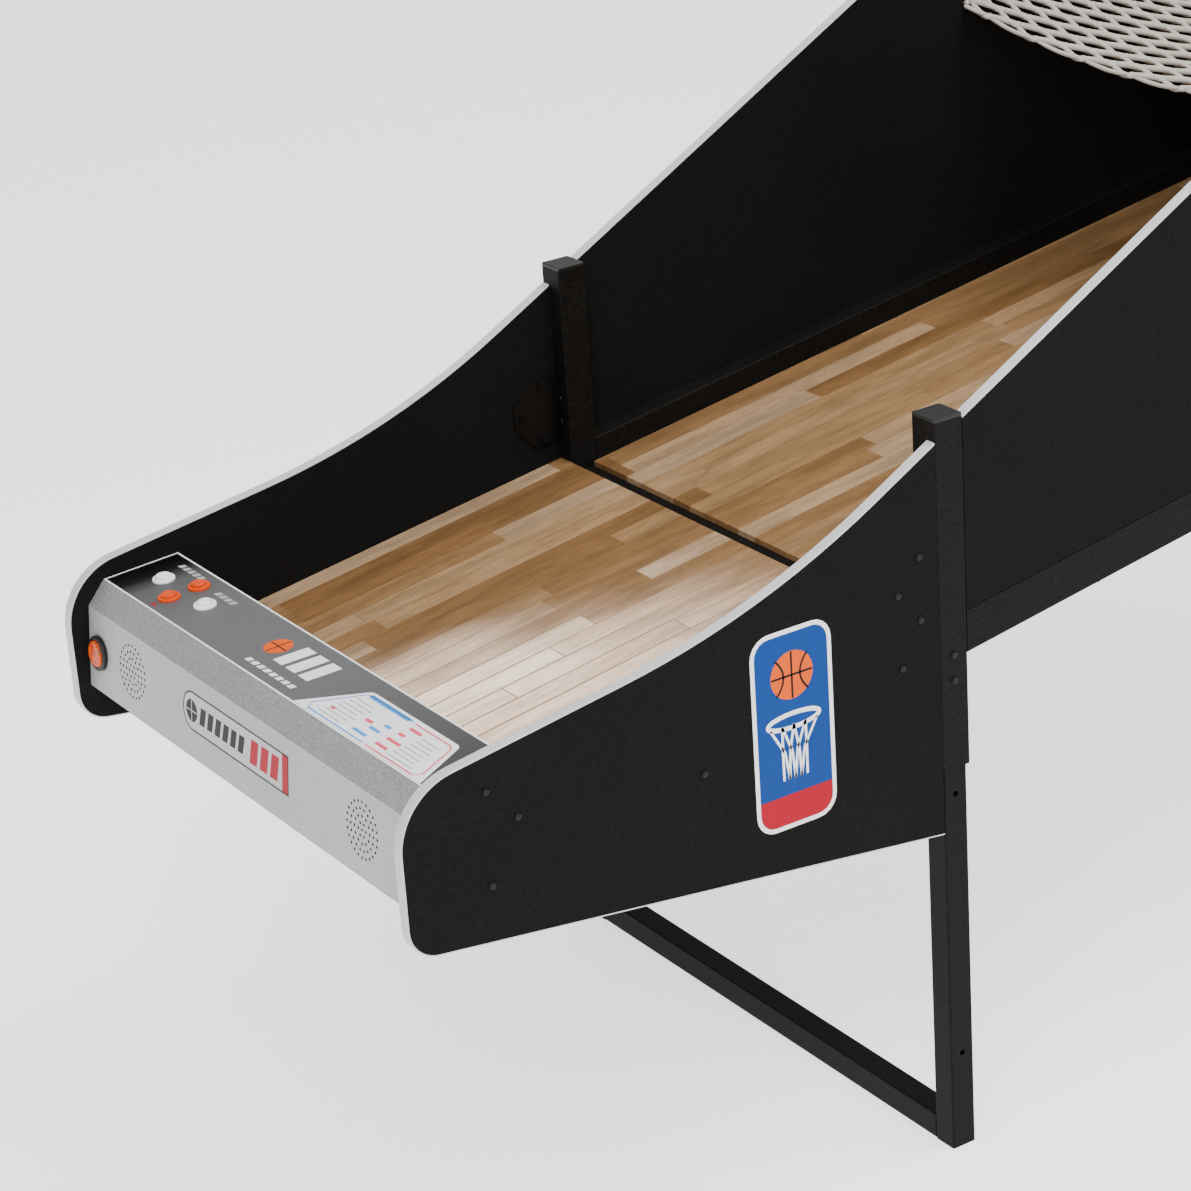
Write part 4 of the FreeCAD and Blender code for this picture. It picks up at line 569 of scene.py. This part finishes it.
ON_FILM = OVERLAY + 0.02
ON_CARD = OVERLAY + 0.16
bright_edge = ink("bright_edge", (0.82, 0.82, 0.83), 0.3)
outer = rectangle(-CONSOLE_HALF, CONSOLE_HALF, -deep, -0.2)
inner = rectangle(-CONSOLE_HALF + EDGE_STRIP, CONSOLE_HALF - EDGE_STRIP, -deep + EDGE_STRIP, -EDGE_STRIP)
printed("overlay_edge", band(outer, inner), console_top, bright_edge, ON_FILM, 0.25)

def overlay_bar(u, v, wide, tall, lean=0):
    """Corners of one bar on the overlay; lean carries its far edge to the right."""
    return on_overlay((u, v), (u + wide, v), (u + wide + lean, v + tall), (u + lean, v + tall))


# pale bars beside the buttons, a red pointer, and a ball and bars in the middle
label_ink = ink("label_grey", (0.36, 0.36, 0.37))
button_bars = []
for start, low, count in ((-430, -722, 5), (-298, -731, 4)):
    button_bars += [overlay_bar(start + 15 * i, low, 10, 10, 4) for i in range(count)]
printed("button_legends", button_bars, console_top, label_ink, ON_FILM)
pointer = on_overlay((-340, -816), (-326, -812), (-338, -806))
printed("button_pointer", [pointer], console_top, red_ink, ON_FILM)
emblem = [overlay_bar(-34 + 36 * i, -777, 26, 55, 4) for i in range(3)]
emblem += [overlay_bar(-68 + 17.5 * i, -805, 12, 9, 3) for i in range(8)]
printed("overlay_bars", emblem, console_top, white_ink, ON_FILM)
ball_middle = (-66.0, -750.0 - TOP_REAR[0])
printed("overlay_ball", [disc(*ball_middle, 22)], console_top, orange_ink, ON_FILM)
ball_seams = stroke([(ball_middle[0], ball_middle[1] - 21), (ball_middle[0], ball_middle[1] + 21)], 2.2)
ball_seams += stroke([(ball_middle[0] - 21, ball_middle[1]), (ball_middle[0] + 21, ball_middle[1])], 2.2)
printed("overlay_ball_seams", ball_seams, console_top, dark_ink, ON_CARD)

# white instruction panel: two outlined boxes with plain lines and tags
card = [(102, -820.5), (440, -820.5), (392, -728), (164, -728)]
card_shape = outline(on_overlay(*card), (0, 0, 14.0, 14.0))
printed("instruction_card", [card_shape], console_top, white_ink, ON_FILM)
pale_blue = ink("pale_blue_vinyl", (0.06, 0.26, 0.62))
pale_red = ink("pale_red_vinyl", (0.72, 0.07, 0.12))
TAG_TALL = 6
blue_line = on_overlay((284, -816), (136, -816), (125, -805), (163, -741), (172, -736), (284, -736))
red_line = on_overlay((290, -816), (412, -816), (421, -805), (390, -743), (381, -737), (290, -737))
blue_shapes = stroke(blue_line, 2.6) + [overlay_bar(172, -741, 104, 8)]
blue_tags = ((236, -806, 34), (250, -788, 26), (262, -771, 16))
blue_shapes += [overlay_bar(u, v, wide, TAG_TALL) for u, v, wide in blue_tags]
red_shapes = stroke(red_line, 2.6)
red_tags = ((158, -795, 10), (226, -780, 18), (296, -806, 30), (296, -788, 34), (296, -770, 16),
            (296, -752, 30))
red_shapes += [overlay_bar(u, v, wide, TAG_TALL) for u, v, wide in red_tags]
printed("instruction_blue", blue_shapes, console_top, pale_blue, ON_CARD)
printed("instruction_red", red_shapes, console_top, pale_red, ON_CARD)
RULE_TALL = 2.2
grey_lines = []
for i in range(7):
    v = -809 + 9.0 * i
    grey_lines.append(overlay_bar(150 + 2 * i, v, 58 - 2 * i + 5 * (i % 3), RULE_TALL))
    grey_lines.append(overlay_bar(334, v, 62 - 3 * i - 6 * (i % 2), RULE_TALL))
printed("instruction_lines", grey_lines, console_top, label_ink, ON_CARD)


# ---- Front badge: a printed plate on the console's face, round at its left
# end, with a plain ball, dark and red slanted bars and a red end block.
FACE_FOOT = (-866.6, 705.0)
FACE_TOP = (-853.6, 832.1)
face_lean = (FACE_TOP[0] - FACE_FOOT[0]) / (FACE_TOP[1] - FACE_FOOT[1])
console_face = plane(at(0, FACE_FOOT[0], FACE_FOOT[1]), (1, 0, 0), (0, face_lean, 1))
BADGE = (-171.0, 140.0, 41.5, 101.5)


def badge_outline(inset):
    u0, u1, v0, v1 = BADGE
    corners = [(u0 + inset, v0 + inset), (u1 - inset, v0 + inset), (u1 - inset, v1 - inset),
               (u0 + inset, v1 - inset)]
    return outline(corners, (28.0 - inset, 0, 0, 28.0 - inset), 8)


badge_plate = ink("badge_plate", (0.44, 0.44, 0.445))
printed("badge_plate", [badge_outline(0)], console_face, badge_plate)
printed("badge_edge", band(badge_outline(0), badge_outline(2.4)), console_face, dark_ink, SECOND_LAYER)
printed("badge_ball", [disc(-145, 71.5, 17)], console_face, dark_ink, SECOND_LAYER)
badge_seams = stroke([(-145, 55), (-145, 88)], 1.8) + stroke([(-161, 71.5), (-129, 71.5)], 1.8)
printed("badge_ball_seams", badge_seams, console_face, badge_plate, THIRD_LAYER)


def slanted(start, foot, top, wide, pitch, count):
    return [[(start + pitch * i, foot), (start + pitch * i + wide, foot), (start + pitch * i + wide + 6, top),
             (start + pitch * i + 6, top)] for i in range(count)]


printed("badge_dark_bars", slanted(-122, 58, 85, 15.5, 23.0, 6), console_face, dark_ink, SECOND_LAYER)
badge_red = slanted(28, 53, 90, 21.0, 29.5, 3) + [rectangle(122, 137.6, 43.9, 99.1)]
printed("badge_red_bars", badge_red, console_face, red_ink, SECOND_LAYER)


# ---- Fasteners, brackets and the lever gear: domed bolts and folded plates,
# black zinc on the frame and bright zinc behind the backboard.
black_zinc = grained_material("black_zinc", (0.004, 0.004, 0.0042), (0.009, 0.009, 0.009), 0.4, 500.0, 0.34,
                              0.12, 0.0001, Specular_IOR_Level=0.16)
bright_zinc = grained_material("bright_zinc", (0.46, 0.47, 0.48), (0.60, 0.60, 0.60), 0.4, 400.0, 0.32, 0.12,
                               0.0001, Metallic=1.0)
paint(black_zinc, "corner_brackets", "ramp_cleats", "panel_bolts", "frame_bolts")
paint(bright_zinc, "board_bolts", "hoop_bolts", "net_hooks", "sensor_bracket", "score_lever", "power_supply")


# ---- Hoop: round steel rod and its welded bracket, enamelled orange.
enamel = grained_material("orange_enamel", (0.80, 0.11, 0.006), (0.88, 0.16, 0.012), 0.3, 120.0, 0.28, 0.1,
                          0.00008, Coat_Weight=0.4, Coat_Roughness=0.12)
paint(enamel, "hoop_ring", "hoop_bracket")


# ---- Knotted nets: white nylon cord, tied in diamonds. The hoop's net hangs
# from loops round the rod, the ball net from hooks along the side panels.
net_cord = grained_material("net_cord", (0.40, 0.365, 0.32), (0.58, 0.54, 0.49), 0.6, 900.0, 0.85, 0.1,
                            0.0006, Specular_IOR_Level=0.15)


def cords(name, paths, loops, radius, material, round_off=2):
    """One mesh of round cords along open paths and closed loops; radius in millimetres."""
    data = bpy.data.curves.new(name, "CURVE")
    data.dimensions = "3D"
    data.bevel_depth = radius * MM
    data.bevel_resolution = round_off
    data.use_fill_caps = True
    for points, cyclic in [(p, False) for p in paths] + [(p, True) for p in loops]:
        spline = data.splines.new("POLY")
        spline.points.add(len(points) - 1)
        for control, place in zip(spline.points, points):
            control.co = (*place, 1)
        spline.use_cyclic_u = cyclic
    path_object = bpy.data.objects.new(name + "_paths", data)
    mesh = bpy.data.meshes.new_from_object(path_object)
    bpy.data.objects.remove(path_object)
    bpy.data.curves.remove(data)
    mesh.name = name
    mesh.materials.append(material)
    mesh.shade_smooth()
    made = make_object(name, mesh)
    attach(made, "machine")
    return made


def ring_about(centre, first, second, count=10):
    """Closed loop round a centre, from two half-axis vectors."""
    turns = [2 * math.pi * i / count for i in range(count)]
    return [centre + first * math.cos(t) + second * math.sin(t) for t in turns]


ring_low, ring_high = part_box("hoop_ring")
hoop_centre = (ring_low + ring_high) / 2
ROD = (ring_high.z - ring_low.z) / MM
RING_RADIUS = (ring_high.x - ring_low.x) / MM / 2 - ROD / 2
HOOP_LOOPS = 12
HOOP_CORD = 2.4
HOOP_ROWS = (8.0, 46.0, 86.0, 126.0, 166.0, 204.0, 242.0, 281.0)    # depths of the knots
NET_DEPTHS = ((0.0, RING_RADIUS), (222.0, 108.0), (285.0, 116.0))


def hoop_net_point(turn, depth):
    """Point on the funnel at a turn from the middle back, in whole turns."""
    lower = next(i for i in range(1, 3) if depth <= NET_DEPTHS[i][0])
    (d0, r0), (d1, r1) = NET_DEPTHS[lower - 1], NET_DEPTHS[lower]
    radius = r0 + (r1 - r0) * (depth - d0) / (d1 - d0)
    angle = 2 * math.pi * turn
    return hoop_centre + Vector((radius * math.sin(angle), radius * math.cos(angle), -depth)) * MM


hoop_strands = []
hoop_knots = []
for level in range(len(HOOP_ROWS) - 1):
    for i in range(HOOP_LOOPS):
        turn = (i + 0.5 * (level % 2)) / HOOP_LOOPS
        for way in (-0.5, 0.5):
            path = []
            for step in range(5):
                part = step / 4
                depth = HOOP_ROWS[level] + (HOOP_ROWS[level + 1] - HOOP_ROWS[level]) * part
                path.append(hoop_net_point(turn + way * part / HOOP_LOOPS, depth))
            hoop_strands.append(path)
        below = hoop_net_point(turn + 0.5 / HOOP_LOOPS, HOOP_ROWS[level + 1])
        outward = (below - hoop_centre)
        outward.z = 0
        outward.normalize()
        for lift in (-1.8, 1.8):
            knot = below + Vector((0, 0, lift * MM))
            along = outward.cross(Vector((0, 0, 1)))
            hoop_knots.append(ring_about(knot, outward * 3.6 * MM, along * 4.2 * MM))
for i in range(HOOP_LOOPS):
    angle = 2 * math.pi * i / HOOP_LOOPS
    outward = Vector((math.sin(angle), math.cos(angle), 0))
    over_rod = hoop_centre + outward * RING_RADIUS * MM
    reach = (ROD / 2 + HOOP_CORD) * MM
    hoop_knots.append(ring_about(over_rod, outward * reach, Vector((0, 0, reach)), 14))
hoop_net = cords("hoop_net_cords", hoop_strands, hoop_knots, HOOP_CORD, net_cord)
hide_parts("hoop_net")

# the ball net: half-width, front hem and rear edge, and its sag in the middle;
# pulled tight across, so that its diamonds are long and low
NET_HALF = 470.5
NET_FRONT = 858.0
NET_BACK = 1603.0
NET_FOOT = 1432.0
NET_CLIMB = 209.0 * (NET_BACK - NET_FRONT) / 755.7
NET_SAG = 49.0
NET_CELLS = 8
NET_ROWS = 60
NET_CORD = 5.1


def ball_net_point(across, back):
    """Point on the net, across from -1 to 1 and back from 0 to 1."""
    sag = NET_SAG * (1 - across * across)
    return at(across * NET_HALF, NET_FRONT + (NET_BACK - NET_FRONT) * back, NET_FOOT + NET_CLIMB * back - sag)


def net_row(level):
    """Across positions of a row's knots; every second row is shifted half a diamond."""
    return [(2 * i + 1 + level % 2) / NET_CELLS - 1 for i in range(NET_CELLS - level % 2)]


def joined(first, second):
    """A strand's points between two knots; those that climb to the right lie over the rest."""
    rise = 1.5 if second[0] > first[0] else -7.0
    path = []
    for step in range(5):
        part = step / 4
        across = first[0] + (second[0] - first[0]) * part
        back = first[1] + (second[1] - first[1]) * part
        path.append(ball_net_point(across, back) + Vector((0, 0, rise * MM * math.sin(math.pi * part))))
    return path


net_strands = []
net_knots = []
rows = [[-1.0] + net_row(level) + [1.0] if level % 2 else net_row(level) for level in range(NET_ROWS + 1)]
for level in range(NET_ROWS):
    here = rows[level]
    after = rows[level + 1]
    for i, across in enumerate(here):
        for other in after:
            if abs(other - across) < 1.2 / NET_CELLS:
                net_strands.append(joined((across, level / NET_ROWS), (other, (level + 1) / NET_ROWS)))
uphill = (ball_net_point(0, 1) - ball_net_point(0, 0)).normalized()
for level in range(NET_ROWS):
    for across in net_row(level):
        knot = ball_net_point(across, level / NET_ROWS)
        net_knots.append(ring_about(knot, uphill * 4.4 * MM, Vector((6.5 * MM, 0, 0)), 7))
hem_steps = [i / 32 - 1 for i in range(65)]
hem = []
for across in hem_steps:
    droop = 4.0 * MM * abs(math.cos(math.pi * across * NET_CELLS / 2))
    hem.append(ball_net_point(across, 0) - Vector((0, 0, droop)))
net_strands.append([ball_net_point(a, 1) for a in hem_steps])
ball_net = cords("ball_net_cords", net_strands, [], NET_CORD, net_cord, 1)
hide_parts("ball_net")
cords("ball_net_knots", [hem], net_knots, 3.6, net_cord, 1)

# border cords along the side panels, tied to each hook
HOOKS = 7
HOOK_DROP = 6.9
borders = [[ball_net_point(side, i / 12) for i in range(13)] for side in (-1, 1)]
ties = []
for i in range(HOOKS):
    part = (i + 0.12) / (HOOKS - 0.7)
    for side in (-1, 1):
        stem = at(side * 466.0, 853.0 + 755.7 * part, 1431.0 + 209.0 * part - HOOK_DROP)
        for shift in (-3.0, 3.0):
            centre = stem + Vector((0, shift * MM, HOOK_DROP / 2 * MM))
            ties.append(ring_about(centre, Vector((6.4 * MM, 0, 0)), Vector((0, 0, 9.2 * MM)), 12))
cords("ball_net_borders", borders, [], 4.6, net_cord)
cords("ball_net_ties", [], ties, 1.6, net_cord)


# ---- Backboard: white laminated board with an orange edge line and a target
# square painted over the hoop.
laminate = grained_material("white_laminate", (0.78, 0.78, 0.77), (0.83, 0.83, 0.82), 0.4, 160.0, 0.35, 0.08,
                            0.00005, 0.02)
paint(laminate, "backboard")
board_low, board_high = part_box("backboard")
board_face = plane(Vector((0, board_low.y, 0)), (1, 0, 0), (0, 0, 1))
half = board_high.x / MM - 2.0
foot = board_low.z / MM + 2.0
head = board_high.z / MM - 2.0
LINE = 22.0
lines = band(rectangle(-half, half, foot, head),
             rectangle(-half + LINE, half - LINE, foot + LINE, head - LINE))
target_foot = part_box("hoop_bracket")[1].z / MM + 8.0
lines += band(rectangle(-155, 155, target_foot, target_foot + 225),
              rectangle(-155 + LINE, 155 - LINE, target_foot + LINE, target_foot + 225 - LINE))
printed("backboard_lines", lines, board_face, orange_ink)


# ---- Scoreboard: folded case with a smoked window; behind it the display
# board shows seven-segment figures, a clock between two scores.
smoke, tree, shader = new_material("smoked_window")
spot = node(tree, "TexCoord").outputs["Object"]
streak = node(tree, "TexNoise", {"Vector": spot, "Scale": 30.0, "Detail": 3.0})
clear = node(tree, "MapRange", {"Value": streak.outputs["Fac"], "To Min": 0.05, "To Max": 0.12})
plug(tree, shader, Base_Color=(0.30, 0.29, 0.28, 1), Roughness=clear.outputs[0], Transmission_Weight=1.0,
     IOR=1.49)
paint(smoke, "scoreboard_window")
SEGMENTS = {"0": "abcdef", "1": "bc", "2": "abged", "3": "abgcd", "4": "fgbc", "5": "afgcd", "6": "afgedc",
            "7": "abc", "8": "abcdefg", "9": "abcdfg"}
lit, tree, shader = new_material("lit_segments")
flicker = node(tree, "TexNoise", {"Vector": node(tree, "TexCoord").outputs["Object"], "Scale": 400.0})
glow = blend_colour(tree, flicker.outputs["Fac"], (1.0, 0.03, 0.01, 1), (1.0, 0.09, 0.03, 1))
plug(tree, shader, Base_Color=(0.5, 0.02, 0.01, 1), Roughness=0.4, Emission_Color=glow, Emission_Strength=2.2)


def figure_segments(value, u, v, wide, tall):
    """Outlines of one seven-segment figure with its lower left corner at u, v."""
    bar = 8.0
    gap = 1.2
    half = tall / 2
    rows = {"a": tall, "g": half, "d": 0.0}
    columns = {"f": (0.0, half), "b": (wide, half), "e": (0.0, 0.0), "c": (wide, 0.0)}
    made = []
    for name in SEGMENTS[value]:
        if name in rows:
            y = v + rows[name]
            x0, x1 = u + gap, u + wide - gap
            made.append([(x0, y), (x0 + bar / 2, y - bar / 2), (x1 - bar / 2, y - bar / 2), (x1, y),
                         (x1 - bar / 2, y + bar / 2), (x0 + bar / 2, y + bar / 2)])
        else:
            x, y0 = u + columns[name][0], v + columns[name][1] + gap
            y1 = y0 + half - 2 * gap
            made.append([(x, y0), (x + bar / 2, y0 + bar / 2), (x + bar / 2, y1 - bar / 2), (x, y1),
                         (x - bar / 2, y1 - bar / 2), (x - bar / 2, y0 + bar / 2)])
    return made


display_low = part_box("scoreboard_display")[0]
display_face = plane(Vector((0, display_low.y, 0)), (1, 0, 0), (0, 0, 1))
figure_foot = display_low.z / MM + 22.0
segments = []
for value, u in (("2", -330), ("4", -275), ("4", -55), ("5", 15), ("3", 235), ("8", 290)):
    segments += figure_segments(value, u, figure_foot, 38.0, 66.0)
printed("score_figures", segments, display_face, lit, 0.0, 0.6)


# ---- Control board: green solder mask with paler tracks; its parts stand on
# it in black.
circuit, tree, shader = new_material("solder_mask")
spot = node(tree, "TexCoord").outputs["Object"]
tracks = node(tree, "TexBrick", {"Vector": spot, "Scale": 140.0, "Mortar Size": 0.03,
                                 "Color1": (0.010, 0.075, 0.030, 1), "Color2": (0.012, 0.095, 0.036, 1),
                                 "Mortar": (0.06, 0.20, 0.09, 1)})
plug(tree, shader, Base_Color=tracks.outputs["Color"], Roughness=0.4)
paint(circuit, "control_board")
parts_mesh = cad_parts["control_board"].data
parts_mesh.materials.append(cap_plastic)
mask_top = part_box("control_board")[0].z + 0.0098
for polygon in parts_mesh.polygons:
    polygon.material_index = 1 if polygon.center.z > mask_top else 0
